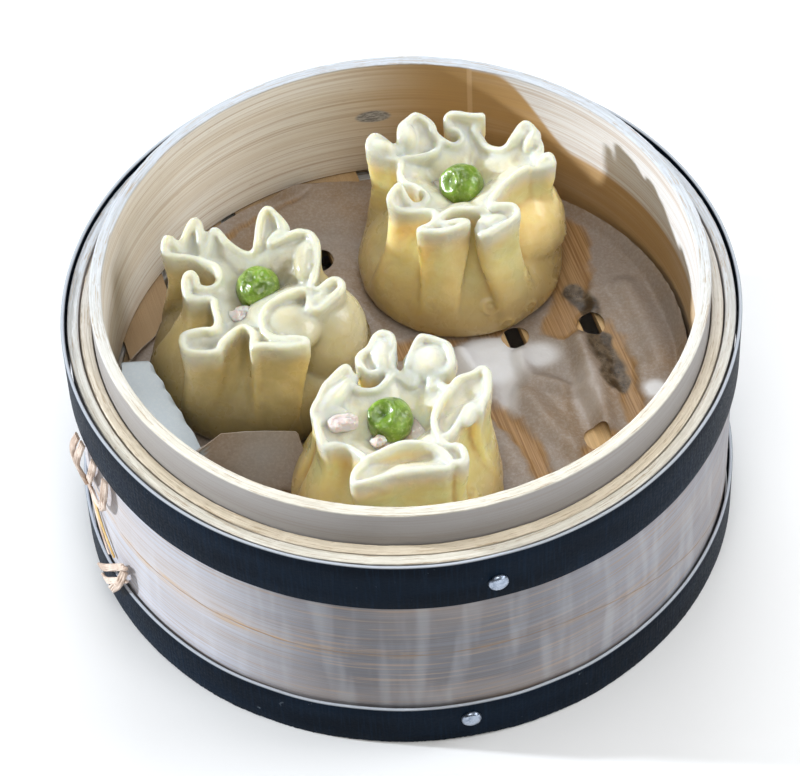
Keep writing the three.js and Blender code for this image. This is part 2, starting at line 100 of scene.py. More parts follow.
WALL = hoop_size("outer_wall", 2.5)
FILLER = hoop_size("filler_hoop", 2.7)
RIM = hoop_size("rim_hoop", 2.8)
SLAT_HOOP = hoop_size("slat_hoop", 2.8)
UPPER_BAND = hoop_size("upper_band", 0.8)
LOWER_BAND = hoop_size("lower_band", 0.8)
SLAT_TOP = float(node_box("slat_4")[1][2])
SLAT_TURN = 15.0  # from the Y axis towards +X, in degrees
FOOD_BASE = float(node_box("wrapper_back")[0][2])

# Where each hoop's strip starts, in degrees from +X. A place on a hoop is a length along it,
# counted from opposite that seam at one radius, and a height, in millimetres.
WALL_SEAM = 150.0
RIM_SEAM = 73.7
FILLER_SEAM = 90.0
STRAP_SEAM = 100.0
HOOP_RADIUS = 70.0  # at which lengths are counted
LAP_END = 219.6  # length at which the rim's strip ends, on top of its own start
KNOT = (-195.3, 55.0)  # a grey knot on the inside of the rim, beside the lap
KNOT_SIZE = (5.0, 2.1)
TAN_RISE = (90.0, 190.0)  # lengths between which the rim's strip turns tan
TAN_END = (-215.0, -174.0)  # lengths between which it is pale again, past the seam
LIT_PATCH_START = (214.0, 71.0)  # above the line between these places the tan strip is painted pale: painted light where the key light falls on the wall
LIT_PATCH_END = (191.0, 54.0)
JOIN_START = (-49.0, 29.9)  # the wall's strips meet along the line between these places
JOIN_END = (36.0, 9.0)


# ---------------- small helpers


def smoothstep(x, low=0.0, high=1.0):
    """0 below one bound, 1 above the other, and a soft step between them."""
    share = np.clip((np.asarray(x, float) - low) / (high - low), 0, 1)
    return share * share * (3 - 2 * share)


def lerp(a, b, share):
    """What lies a share of the way from a to b."""
    return a + (b - a) * share


def bell(x, width):
    """1 at 0, falling away over a width on both sides."""
    return np.exp(-((np.asarray(x, float) / width) ** 2))


def unit(vectors):
    """The same directions, each of length 1."""
    return vectors / np.maximum(np.linalg.norm(vectors, axis=1), 1e-9)[:, None]


def on_floor(spots):
    """Spots as seen from above, at height 0."""
    return np.column_stack([spots[:, :2], np.zeros(len(spots))])


def tree_of(points):
    """A tree that finds the nearest of the points."""
    tree = KDTree(len(points))
    for index, point in enumerate(points):
        tree.insert(point, index)
    tree.balance()
    return tree


def rough(points, size, seed):
    """Smooth random value from -1 to 1 at each point; size is that of its bumps."""
    shift = Vector((seed * 17.3, seed * 5.1, seed * 9.7))
    return np.array([noise.noise(Vector(p) / size + shift) for p in points])


def closed_spline(values, steps):
    """Catmull-Rom curve through the rows of a closed loop, with a number of steps for each."""
    before = np.roll(values, 1, axis=0)
    after = np.roll(values, -1, axis=0)
    beyond = np.roll(values, -2, axis=0)
    parts = []
    for share in np.arange(steps) / steps:
        parts.append(
            0.5
            * (
                2 * values
                + (after - before) * share
                + (2 * before - 5 * values + 4 * after - beyond) * share**2
                + (3 * values - before - 3 * after + beyond) * share**3
            )
        )
    return np.stack(parts, axis=1).reshape(-1, *values.shape[1:])


def open_spline(values, steps):
    """Catmull-Rom curve through the rows of an open line."""
    values = np.asarray(values, float)
    padded = np.vstack([2 * values[0] - values[1], values, 2 * values[-1] - values[-2]])
    line = closed_spline(padded, steps)
    return np.vstack([line[steps : steps * len(values)], values[-1]])


def grid_faces(rows, columns, wrap_rows=False):
    """Squares between the points of a grid that is stored row by row, each row a closed ring."""
    row = np.arange(rows if wrap_rows else rows - 1)[:, None]
    column = np.arange(columns)[None, :]
    next_row = (row + 1) % rows
    next_column = (column + 1) % columns
    corners = [
        row * columns + column,
        row * columns + next_column,
        next_row * columns + next_column,
        next_row * columns + column,
    ]
    return np.stack(corners, axis=-1).reshape(-1, 4).tolist()


def fan_faces(ring, centre, flip=False):
    """Triangles from a ring of point numbers to one centre."""
    faces = [(ring[i], ring[(i + 1) % len(ring)], centre) for i in range(len(ring))]
    return [face[::-1] for face in faces] if flip else faces


def make_piece(name, points, faces, material, sharp=40.0, **values):
    """A mesh object from points in millimetres; each value is stored for every point."""
    mesh = bpy.data.meshes.new(name)
    mesh.from_pydata((np.asarray(points, float) * MM).tolist(), [], faces)
    mesh.validate()
    mesh.shade_smooth()
    mesh.set_sharp_from_angle(angle=math.radians(sharp))
    for key, numbers in values.items():
        layer = mesh.attributes.new(key, "FLOAT", "POINT")
        layer.data.foreach_set("value", np.asarray(numbers, np.float32).ravel())
    mesh.materials.append(material)
    piece = bpy.data.objects.new(name, mesh)
    bpy.context.scene.collection.objects.link(piece)
    return piece


def dress(piece, node):
    """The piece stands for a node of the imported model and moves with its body."""
    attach(piece, "root")
    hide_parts(node)


# ---------------- node materials


class Finish:
    """One material's nodes, with short calls for the kinds that the finishes use."""

    def __init__(self, name):
        self.material = bpy.data.materials.new(name)
        self.material.use_nodes = True
        self.tree = self.material.node_tree
        self.tree.nodes.clear()
        self.output = self.tree.nodes.new("ShaderNodeOutputMaterial")

    def put(self, socket, value):
        """Links a node's output to the socket, or sets the socket's own value."""
        if isinstance(value, bpy.types.NodeSocket):
            self.tree.links.new(value, socket)
        elif hasattr(socket, "default_value"):
            size = len(socket.default_value) if hasattr(socket.default_value, "__len__") else 0
            if size == 4 and len(value) == 3:
                value = (*value, 1.0)
            socket.default_value = value

    def node(self, kind, inputs, **settings):
        made = self.tree.nodes.new(kind)
        for key, value in settings.items():
            setattr(made, key, value)
        for key, value in inputs.items():
            self.put(made.inputs[key], value)
        return made

    def math(self, operation, a, b=0.0):
        return self.node("ShaderNodeMath", {0: a, 1: b}, operation=operation).outputs[0]

    def times(self, a, b):
        return self.math("MULTIPLY", a, b)

    def plus(self, a, b):
        return self.math("ADD", a, b)

    def minus(self, a, b):
        return self.math("SUBTRACT", a, b)

    def vector(self, operation, a, b):
        return self.node("ShaderNodeVectorMath", {0: a, 1: b}, operation=operation).outputs[0]

    def split(self, vector):
        return self.node("ShaderNodeSeparateXYZ", {0: vector}).outputs

    def combine(self, x, y, z):
        return self.node("ShaderNodeCombineXYZ", {0: x, 1: y, 2: z}).outputs[0]

    def place(self):
        """Place on the object, in millimetres."""
        here = self.node("ShaderNodeTexCoord", {}).outputs["Object"]
        return self.vector("MULTIPLY", here, (1 / MM,) * 3)

    def stored(self, name):
        """A number that the mesh keeps for each point."""
        return self.node("ShaderNodeAttribute", {}, attribute_name=name).outputs["Fac"]

    def apart(self, a, b):
        """How far two numbers are from each other."""
        return self.math("ABSOLUTE", self.minus(a, b))

    def mix(self, share, a, b, blend="MIX"):
        made = self.node("ShaderNodeMix", {}, data_type="RGBA", blend_type=blend)
        for index, value in ((0, share), (6, a), (7, b)):
            self.put(made.inputs[index], value)
        return made.outputs[2]

    def noise(self, place, bumps, detail=2.0, roughness=0.5, twist=0.0):
        """Noise whose bumps have a size along each axis, in millimetres."""
        scaled = self.vector("DIVIDE", place, bumps)
        inputs = {
            "Vector": scaled,
            "Scale": 1.0,
            "Detail": detail,
            "Roughness": roughness,
            "Distortion": twist,
        }
        return self.node("ShaderNodeTexNoise", inputs).outputs["Fac"]

    def cells(self, place, bumps):
        """Distance from the middle of the nearest grain; grains have a size along each axis."""
        inputs = {"Vector": self.vector("DIVIDE", place, bumps), "Scale": 1.0}
        return self.node("ShaderNodeTexVoronoi", inputs).outputs["Distance"]

    def between(self, value, low, high, to_low=0.0, to_high=1.0):
        """The value's place between two bounds, clamped, from one number to another."""
        inputs = {"Value": value, 1: low, 2: high, 3: to_low, 4: to_high}
        made = self.node("ShaderNodeMapRange", inputs, interpolation_type="SMOOTHSTEP")
        return made.outputs[0]

    def bump(self, height, depth, normal=None):
        """Relief of a depth in millimetres."""
        inputs = {"Height": height, "Strength": 1.0, "Distance": depth * MM}
        if normal is not None:
            inputs["Normal"] = normal
        return self.node("ShaderNodeBump", inputs).outputs[0]

    def surface(self, **inputs):
        """Ends the tree with a principled surface whose sockets are given with _ for spaces."""
        shader = self.node("ShaderNodeBsdfPrincipled", {})
        for key, value in inputs.items():
            self.put(shader.inputs[key.replace("_", " ")], value)
        self.tree.links.new(shader.outputs[0], self.output.inputs[0])
        return shader


def hoop_place(finish, seam):
    """Place along, up and across a hoop, in millimetres, with its join at the seam's angle."""
    x, y, z = finish.split(finish.place())
    cos, sin = math.cos(math.radians(seam)), math.sin(math.radians(seam))
    along_seam = finish.plus(finish.times(x, -cos), finish.times(y, -sin))
    beside_seam = finish.plus(finish.times(x, sin), finish.times(y, -cos))
    angle = finish.math("ARCTAN2", beside_seam, along_seam)
    reach_squared = finish.plus(finish.times(x, x), finish.times(y, y))
    radius = finish.math("SQRT", reach_squared)
    return finish.combine(finish.times(angle, HOOP_RADIUS), z, radius)


def wood_grain(finish, place):
    """Soft streaks, fibres and thin dark lines of split bamboo whose grain runs along X."""
    streak = finish.noise(place, (90, 5, 5), 3, 0.6)
    fibre = finish.noise(place, (40, 0.3, 0.6), 3, 0.65)
    vein = finish.noise(place, (220, 2.2, 3.0), 3, 0.6)
    line = finish.between(finish.apart(finish.times(vein, 6.0), 0.5), 0.0, 0.22, 1.0, 0.0)
    return streak, fibre, line


def bent_wood(name, seam, light, dark, vein_color, tan=None, add_marks=None, edge=(1.0, 1.0, 1.0)):
    """Split bamboo bent into a hoop, with the tint of its sawn edge.

    Tan is its colour beside the seam. Further marks are drawn by the function that is given.
    """
    finish = Finish(name)
    place = hoop_place(finish, seam)
    along, height, radius = finish.split(place)
    streak, fibre, line = wood_grain(finish, place)
    color = finish.mix(finish.between(streak, 0.3, 0.7), light, dark)
    if tan is not None:
        cloud = finish.noise(place, (30, 12, 12), 2, 0.5)
        reach = finish.plus(along, finish.times(cloud, 40.0))
        fade = finish.between(reach, *TAN_RISE)
        share = finish.times(fade, finish.between(streak, 0.2, 0.6, 0.8, 1.0))
        before = finish.between(along, *TAN_END, 1.0, 0.0)
        share = finish.math("MAXIMUM", share, before)
        color = finish.mix(share, color, tan)
        # Painted light: above the line the tan strip is painted pale, where the key light falls on the
        # wall.
        level = slanted(finish, along, LIT_PATCH_END, LIT_PATCH_START)
        lit_patch = finish.between(finish.minus(height, level), -0.8, 1.2)
        lit_patch = finish.times(lit_patch, finish.between(along, -60.0, 20.0))
        color = finish.mix(lit_patch, color, (0.78, 0.77, 0.76))
    color = finish.mix(finish.between(fibre, 0.4, 0.72, 0, 0.45), color, vein_color)
    color = finish.mix(finish.times(line, 0.6), color, vein_color)
    thread = finish.noise(place, (160, 0.9, 1.5), 2, 0.5)
    color = finish.mix(finish.between(thread, 0.56, 0.68, 0, 0.3), color, vein_color)
    dash = finish.noise(place, (5, 0.35, 0.8), 2, 0.5)
    color = finish.mix(finish.between(dash, 0.68, 0.78, 0, 0.6), color, vein_color)
    if add_marks is not None:
        color = add_marks(finish, along, height, radius, color)
    sawn = finish.noise(place, (14, 0.22, 0.4), 3, 0.6)
    # Painted light on the sawn edges: warm and pale at the front, cooler and darker at the back.
    _, y, _ = finish.split(finish.place())
    tone = finish.mix(finish.between(y, -50.0, 30.0), (0.84, 0.8, 0.7), (0.62, 0.66, 0.72))
    sawn_color = finish.mix(finish.between(sawn, 0.3, 0.72), tone, (0.8, 0.78, 0.74), "MULTIPLY")
    sawn_color = finish.mix(1.0, sawn_color, edge, "MULTIPLY")
    speck = finish.noise(place, (9.0, 0.35, 0.3), 3, 0.6)
    sawn_color = finish.mix(finish.between(speck, 0.55, 0.68, 0, 0.75), sawn_color, (0.42, 0.29, 0.16))
    top = finish.stored("cut_edge")
    color = finish.mix(top, color, sawn_color)
    normal = finish.bump(fibre, 0.08)
    normal = finish.bump(finish.times(sawn, top), 0.3, normal)
    finish.surface(
        Base_Color=color,
        Roughness=finish.between(fibre, 0.2, 0.8, 0.45, 0.7),
        Normal=normal,
        Specular_IOR_Level=0.3,
    )
    return finish.material


def slanted(finish, along, start, end):
    """Height of the line between two places on a hoop, at a length along it."""
    return finish.between(along, start[0], end[0], start[1], end[1])


def spot_mark(finish, along, height, place, size):
    """1 in the middle of an oval mark on a hoop, 0 outside it."""
    a = finish.math("DIVIDE", finish.minus(along, place[0]), size[0])
    b = finish.math("DIVIDE", finish.minus(height, place[1]), size[1])
    far = finish.plus(finish.times(a, a), finish.times(b, b))
    return finish.between(far, 0.5, 1.0, 1.0, 0.0)


def inside_marks(finish, along, height, radius, color):
    """The strip's lapped end, the grey knot beside it, and painted shade on the outer face."""
    lap = finish.minus(LAP_END, finish.math("ABSOLUTE", along))
    color = finish.mix(finish.between(lap, 0.15, 0.5, 0.7, 0.0), color, (0.66, 0.46, 0.26))
    knot = spot_mark(finish, along, height, KNOT, KNOT_SIZE)
    ring = finish.noise(finish.combine(along, height, 0.0), (2.2, 0.5, 1.0), 3, 0.7)
    knot_color = finish.mix(finish.between(ring, 0.35, 0.65), (0.12, 0.12, 0.13), (0.5, 0.5, 0.5))
    color = finish.mix(finish.times(knot, 0.9), color, knot_color)
    # Painted shade on the rim's outer face.
    outer = finish.between(radius, RIM[0] + 1.2, RIM[1] - 0.5, 0.0, 0.85)
    return finish.mix(outer, color, (0.28, 0.26, 0.25))


def outside_marks(finish, along, height, _, color):
    """Painted shade on the front and right of the wall, pale upright blotches and the line along which the
    wall's strips meet.
    """
    place = finish.combine(along, height, 0.0)
    blotch = finish.noise(place, (5, 40, 1), 2, 0.5)
    # Painted shade: darkest at the front, less at the right and back, none on the left where the key light
    # falls.
    start = finish.between(along, -125.0, -85.0)
    front = finish.between(along, -60, -20, 0.8, 0.52)
    end = finish.times(front, finish.between(along, 60, 130, 1, 0.3))
    painted_shade = finish.times(start, end)
    color = finish.mix(painted_shade, color, (0.1, 0.1, 0.115))
    cloud = finish.noise(place, (60, 20, 1), 2, 0.5)
    color = finish.mix(finish.between(cloud, 0.45, 0.7, 0, 0.3), color, (0.5, 0.4, 0.32))
    stain = finish.noise(place, (34, 0.9, 1), 4, 0.65)
    color = finish.mix(finish.between(stain, 0.52, 0.66, 0, 0.6), color, (0.4, 0.29, 0.21))
    color = finish.mix(finish.between(blotch, 0.46, 0.7, 0, 0.22), color, (0.62, 0.64, 0.68))
    sway = finish.times(finish.noise(place, (18, 25, 1), 4, 0.6), 2.0)
    level = finish.plus(slanted(finish, along, JOIN_START, JOIN_END), sway)
    gap = finish.apart(height, level)
    patch = finish.noise(place, (9, 0.7, 1), 4, 0.65)
    left = finish.between(along, -130.0, -60.0, 0.85, 0.2)
    beside = finish.between(gap, 0.3, 2.2, 1.0, 0.0)
    ochre = finish.times(beside, finish.between(patch, 0.46, 0.62))
    color = finish.mix(finish.times(ochre, left), color, (0.55, 0.34, 0.14))
    crack = finish.between(gap, 0.08, 0.3, 0.8, 0.0)
    crack = finish.times(crack, finish.between(patch, 0.3, 0.5))
    return finish.mix(crack, color, (0.26, 0.17, 0.1))


# ---------------- hoops


RIM_DARK = (0.86, 0.79, 0.68)  # streaks on the inside of the rim
LAYERS = ((0.72, 0.66, 0.56), (0.6, 0.5, 0.36))  # streaks of the filler and the slat hoop
LAYER_EDGE = (1.0, 0.92, 0.82)  # tint of their sawn edges
HOOP_SEGMENTS = 720
CORNER_STEPS = 4  # along each rounded corner of a section


def rounded_box(inner, outer, bottom, top, radius, side_steps):
    """Closed outline of a hoop's section, from the inner bottom corner out, up and back."""
    corners = [
        (inner + radius, bottom + radius, 180),
        (outer - radius, bottom + radius, 270),
        (outer - radius, top - radius, 0),
        (inner + radius, top - radius, 90),
    ]
    outline = []
    for index, (r, z, start) in enumerate(corners):
        for step in range(CORNER_STEPS + 1):
            angle = math.radians(start + 90 * step / CORNER_STEPS)
            outline.append((r + radius * math.cos(angle), z + radius * math.sin(angle)))
        if index % 2 == 1:
            last = np.array(outline[-1])
            rise = top - bottom - 2 * radius
            way = 1 if index == 1 else -1
            for step in range(1, side_steps):
                outline.append((last[0], last[1] + way * rise * step / side_steps))
    return np.array(outline)


def lathe(name, outline, material, segments, vary, top_edge):
    """Turns an outline round the Z axis; vary(degrees, r, z) moves its points.

    The mesh keeps which points are on the sawn or cut edge at the top.
    """
    degrees = np.arange(segments)[:, None] * 360 / segments
    r = np.broadcast_to(outline[:, 0], (segments, len(outline)))
    z = np.broadcast_to(outline[:, 1], (segments, len(outline)))
    r, z = vary(degrees, r, z)
    turn = np.radians(degrees)
    points = np.stack([r * np.cos(turn), r * np.sin(turn), z], axis=-1).reshape(-1, 3)
    faces = [face[::-1] for face in grid_faces(segments, len(outline), wrap_rows=True)]
    edge = smoothstep(outline[:, 1], top_edge - 0.5, top_edge - 0.1)
    return make_piece(name, points, faces, material, cut_edge=np.tile(edge, segments))


def ring_noise(degrees, size, seed):
    """Smooth random value round the basket; size is that of its bumps in millimetres."""
    turn = np.radians(degrees)
    points = np.stack([HOOP_RADIUS * np.cos(turn), HOOP_RADIUS * np.sin(turn), 0 * turn], axis=-1)
    return rough(points.reshape(-1, 3), size, seed).reshape(np.shape(degrees))


def wavy_top(seed, amount):
    """Lets the upper edge of a hoop rise and fall, by about an amount in millimetres."""

    def vary(degrees, r, z):
        middle = (z.min() + z.max()) / 2
        wave = ring_noise(degrees, 26, seed) + 0.5 * ring_noise(degrees, 5, seed + 1)
        fine = ring_noise(degrees, 1.4, seed + 2)
        return r, z + np.where(z > middle, amount * (wave + 0.4 * fine), 0)

    return vary


class STEAMER_OT_hoops(bpy.types.Operator):
    """Make the wall, the filler, the inner rim and the hoop under the slats"""

    bl_idname = "steamer.hoops"
    bl_label = "Wooden hoops"

    def execute(self, context):
        settings = context.scene.steamer_basket
        edge = settings.edge_radius / MM
        vein = settings.vein_color
        pale = (settings.pale_wood, tuple(0.82 * value for value in settings.pale_wood))
        warm = (settings.warm_wood, RIM_DARK)
        outside = bent_wood("bamboo_outside", WALL_SEAM, *pale, vein, None, outside_marks)
        inside = bent_wood("bamboo_inside", RIM_SEAM, *warm, vein, settings.tan_wood, inside_marks)
        layered = bent_wood("bamboo_layers", FILLER_SEAM, *LAYERS, vein, edge=LAYER_EDGE)
        jobs = [
            ("outer_wall", "outer_wall_wood", WALL, outside, "bamboo_pale", 0.25),
            ("filler_hoop", "filler_hoop_wood", FILLER, layered, "bamboo_tan", 0.25),
            ("rim_hoop", "rim_hoop_wood", RIM, inside, "bamboo_pale", 0.22),
            ("slat_hoop", "slat_hoop_wood", SLAT_HOOP, layered, "bamboo_tan", 0.1),
        ]
        for seed, (node, name, size, material, slot, amount) in enumerate(jobs):
            outline = rounded_box(*size, edge, 6)
            vary = wavy_top(seed, amount)
            piece = lathe(name, outline, material, HOOP_SEGMENTS, vary, size[3] + 0.1)
            dress(piece, node)
        return {"FINISHED"}


# ---------------- bands and rivets


STRAP_SEGMENTS = 1440  # enough for the teeth of the lower edge
STRAP_ROUNDING = 0.3


def strap(name, color, rib_pitch):
    """Coated strap with fine ribs across it; its cut upper edge is painted pale as a highlight."""
    finish = Finish(name)
    place = hoop_place(finish, STRAP_SEAM)
    rib = finish.noise(place, (rib_pitch, 9.0, 9.0), 1, 0.5)
    grain = finish.noise(place, (0.7, 0.7, 0.7), 2, 0.6)
    dust = finish.noise(place, (2.4, 2.4, 2.4), 4, 0.7)
    tone = finish.noise(place, (30, 8, 8), 2, 0.5)
    base = finish.mix(finish.between(tone, 0.3, 0.7), color, tuple(1.8 * value for value in color))
    base = finish.mix(finish.between(rib, 0.5, 0.7, 0, 0.4), base, tuple(3 * value for value in color))
    base = finish.mix(finish.between(dust, 0.68, 0.76, 0, 0.3), base, (0.3, 0.36, 0.42))
    # Painted highlight along the cut upper edge.
    base = finish.mix(finish.stored("cut_edge"), base, (0.6, 0.64, 0.7))
    normal = finish.bump(rib, 0.06)
    finish.surface(
        Base_Color=base,
        Roughness=finish.between(grain, 0.3, 0.7, 0.4, 0.55),
        Normal=finish.bump(grain, 0.04, normal),
        Specular_IOR_Level=0.04,
    )
    return finish.material


def wavy_strap(seed, teeth, sag):
    """Lets a strap sway and sag round the wall, with fine teeth along its lower edge."""

    def vary(degrees, r, z):
        sway = 0.16 * ring_noise(degrees, 34, 20 + seed)
        edge = sag * ring_noise(degrees, 11, 30 + seed)
        low = z < (z.min() + z.max()) / 2
        cut = np.where(low, teeth * ring_noise(degrees, 0.45, 40 + seed), 0)
        return r + sway - 0.1, z + edge + cut

    return vary


class STEAMER_OT_bands(bpy.types.Operator):
    """Make the two black straps round the basket"""

    bl_idname = "steamer.bands"
    bl_label = "Bands"

    def execute(self, context):
        color = context.scene.steamer_basket.band_color
        jobs = [
            ("upper_band", "upper_band_strap", UPPER_BAND, 0.5, 0.0, 0.14),
            ("lower_band", "lower_band_strap", LOWER_BAND, 0.45, 0.22, 0.3),
        ]
        for seed, (node, name, size, pitch, teeth, sag) in enumerate(jobs):
            outline = rounded_box(*size, STRAP_ROUNDING, 4)
            material = strap(name, color, pitch)
            vary = wavy_strap(seed, teeth, sag)
            piece = lathe(name, outline, material, STRAP_SEGMENTS, vary, size[3] + 0.2)
            dress(piece, node)
        return {"FINISHED"}


def rivet_metal():
    """Worn bluish steel."""
    finish = Finish("rivet_metal")
    place = finish.place()
    scratch = finish.noise(place, (0.25, 0.25, 1.2), 3, 0.6)
    stain = finish.noise(place, (1.2, 1.2, 1.2), 3, 0.6)
    color = finish.mix(finish.between(stain, 0.35, 0.7), (0.42, 0.48, 0.58), (0.2, 0.24, 0.32))
    finish.surface(
        Base_Color=color,
        Metallic=1.0,
        Roughness=finish.between(stain, 0.3, 0.7, 0.22, 0.42),
        Normal=finish.bump(scratch, 0.03),
    )
    return finish.material


RIVET_RISE = 1.05  # how far a rivet stands out of its band, in millimetres
RIVET_FOOT = UPPER_BAND[1] - 0.05  # radius at which it starts


def rivet_dome(radius):
    """Points and faces of a worn dome that stands up along Z."""
    rings, sides = 12, 40
    points = []
    for ring in range(rings):
        lift = math.sin(math.pi / 2 * ring / (rings - 1)) ** 0.8
        reach = radius * math.cos(math.pi / 2 * ring / rings) ** 0.7
        for side in range(sides):
            turn = 2 * math.pi * side / sides
            dent = 0.06 * bell(math.cos(turn - 0.7), 0.35) * bell(reach - 0.55 * radius, 0.5)
            height = RIVET_RISE * lift - dent
            points.append((reach * math.cos(turn), reach * math.sin(turn), height))
    points.append((0, 0, RIVET_RISE + 0.01))
    points.append((0, 0, 0))
    last = (rings - 1) * sides
    faces = grid_faces(rings, sides)
    faces += fan_faces(range(last, last + sides), rings * sides)
    faces += fan_faces(range(sides), rings * sides + 1, flip=True)
    return points, faces


class STEAMER_OT_rivets(bpy.types.Operator):
    """Make the four rivets that close the bands"""

    bl_idname = "steamer.rivets"
    bl_label = "Rivets"

    def execute(self, context):
        material = rivet_metal()
        for node in ("rivet_upper_front", "rivet_lower_front", "rivet_upper_back", "rivet_lower_back"):
            low, high = node_box(node)
            middle = (low + high) / 2
            points, faces = rivet_dome(0.9 * (high[2] - low[2]) / 2)
            out = math.atan2(middle[1], middle[0])
            facing = Matrix.Rotation(out, 3, "Z") @ Matrix.Rotation(math.pi / 2, 3, "Y")
            shift = Vector((RIVET_FOOT * math.cos(out), RIVET_FOOT * math.sin(out), middle[2]))
            points = [tuple(facing @ Vector(point) + shift) for point in points]
            piece = make_piece(node + "_dome", points, faces, material, 60)
            dress(piece, node)
        return {"FINISHED"}


# ---------------- slats


SLAT_LIGHT = (0.74, 0.52, 0.28)
SLAT_DARK = (0.6, 0.38, 0.16)
SLAT_PAINTED_SHADE = (0.3, 0.21, 0.13)  # painted shade on the slats at the left, under the rim's shadow
SLAT_ROUNDING = 0.45
SLAT_NODES = [f"slat_{index}" for index in range(1, 8)] + ["cross_bar_1", "cross_bar_2"]


def along_slats(finish, x, y):
    """A place's lengths along the slats and across them, in millimetres."""
    lie = math.radians(SLAT_TURN)
    cos, sin = math.cos(lie), math.sin(lie)
    along = finish.plus(finish.times(x, -sin), finish.times(y, cos))
    aside = finish.plus(finish.times(x, cos), finish.times(y, sin))
    return along, aside


def slat_wood(name, light, dark, vein):
    """Damp split bamboo whose grain runs along the slats."""
    finish = Finish(name)
    x, y, z = finish.split(finish.place())
    place = finish.combine(*along_slats(finish, x, y), z)
    streak, fibre, line = wood_grain(finish, place)
    color = finish.mix(finish.between(streak, 0.3, 0.7), light, dark)
    color = finish.mix(finish.between(fibre, 0.35, 0.75, 0, 0.5), color, vein)
    color = finish.mix(finish.times(line, 0.6), color, vein)
    # Painted shade on the slats towards the left.
    color = finish.mix(finish.between(x, -28.0, 8.0, 0.8, 0.0), color, SLAT_PAINTED_SHADE)
    finish.surface(
        Base_Color=color,
        Roughness=finish.between(fibre, 0.2, 0.8, 0.35, 0.55),
        Normal=finish.bump(fibre, 0.15),
        Specular_IOR_Level=0.4,
    )
    return finish.material


def apply_modifiers(piece):
    """Keeps the result of the piece's modifiers as its mesh."""
    graph = bpy.context.evaluated_depsgraph_get()
    shaped = bpy.data.meshes.new_from_object(piece.evaluated_get(graph))
    piece.modifiers.clear()
    piece.data = shaped
    shaped.name = piece.name


class STEAMER_OT_slats(bpy.types.Operator):
    """Round the edges of the slats and of the bars that carry them"""

    bl_idname = "steamer.slats"
    bl_label = "Slats"

    def execute(self, context):
        settings = context.scene.steamer_basket
        wood = slat_wood("bamboo_slats", SLAT_LIGHT, SLAT_DARK, settings.vein_color)
        for node in SLAT_NODES:
            piece = FRAME["nodes"][node].copy()
            piece.data = piece.data.copy()
            piece.name = node + "_wood"
            piece.data.name = piece.name
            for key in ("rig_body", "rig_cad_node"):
                if key in piece:
                    del piece[key]
            piece.parent = None
            piece.matrix_world = Matrix.Identity(4)
            context.scene.collection.objects.link(piece)
            mesh = piece.data
            mesh.materials.clear()
            mesh.materials.append(wood)
            weld = piece.modifiers.new("weld", "WELD")
            weld.merge_threshold = 0.01 * MM
            bevel = piece.modifiers.new("bevel", "BEVEL")
            bevel.width = SLAT_ROUNDING * MM
            bevel.segments = 3
            bevel.limit_method = "ANGLE"
            bevel.angle_limit = math.radians(40)
            apply_modifiers(piece)
            piece.data.shade_smooth()
            piece.data.set_sharp_from_angle(angle=math.radians(35))
            dress(piece, node)
        return {"FINISHED"}


# ---------------- rattan tie


def rattan(name, light, dark):
    """Split rattan with darker fibres."""
    finish = Finish(name)
    place = hoop_place(finish, 0.0)
    fibre = finish.noise(place, (1.2, 1.2, 0.4), 3, 0.6, 1.5)
    tone = finish.noise(place, (4, 4, 4), 2, 0.5)
    color = finish.mix(finish.between(tone, 0.3, 0.7), light, dark)
    color = finish.mix(finish.between(fibre, 0.5, 0.8, 0, 0.5), color, (0.3, 0.17, 0.08))
    finish.surface(Base_Color=color, Roughness=0.5, Normal=finish.bump(fibre, 0.12))
    return finish.material


TIE_WALL = WALL[1] + 1.15  # radius at which the middle of a flat strand lies
# The strands of each piece: angle in degrees, height and how far out, from end to end.
TIE_STRANDS = {
    "tie_knot_upper": [
        [(-162.6, 48.2, 0.9), (-164, 43, 2.0), (-164.3, 38, 2.0), (-162, 33, 0.8)],
        [(-160.6, 48.2, 0.5), (-161.4, 43, 1.9), (-162.6, 38, 1.8), (-162.8, 32.2, 0.3)],
        [(-156.2, 48, 0.0), (-157.4, 43, 0.5), (-159.4, 38, 0.5), (-161.8, 33, 0.0)],
        [(-152, 47.4, 0.0), (-152.4, 41, 0.8), (-154.6, 35, 0.8), (-160.8, 33.6, 0.3)],
    ],
    "tie_knot_lower": [
        [(-157.6, 9.8, 1.8), (-154.2, 14.4, 1.7), (-151, 18.8, 0.9), (-148.6, 21.8, 0.2)],
        [(-156, 8.6, 1.8), (-153.4, 11.2, 2.2), (-151, 14.4, 1.7), (-148.6, 17.4, 0.5)],
        [(-153, 8.4, 1.8), (-151.6, 11, 2.1), (-149.6, 15.6, 1.5), (-148.8, 20, 0.3)],
    ],
    "tie_strip_1": [[(-154.4, 16.4, -0.6), (-159, 22, -0.5), (-163.6, 27.5, -0.6)]],
    "tie_strip_2": [[(-157.2, 13.6, -0.6), (-160.7, 19.1, -0.5), (-164.2, 24.6, -0.6)]],
}


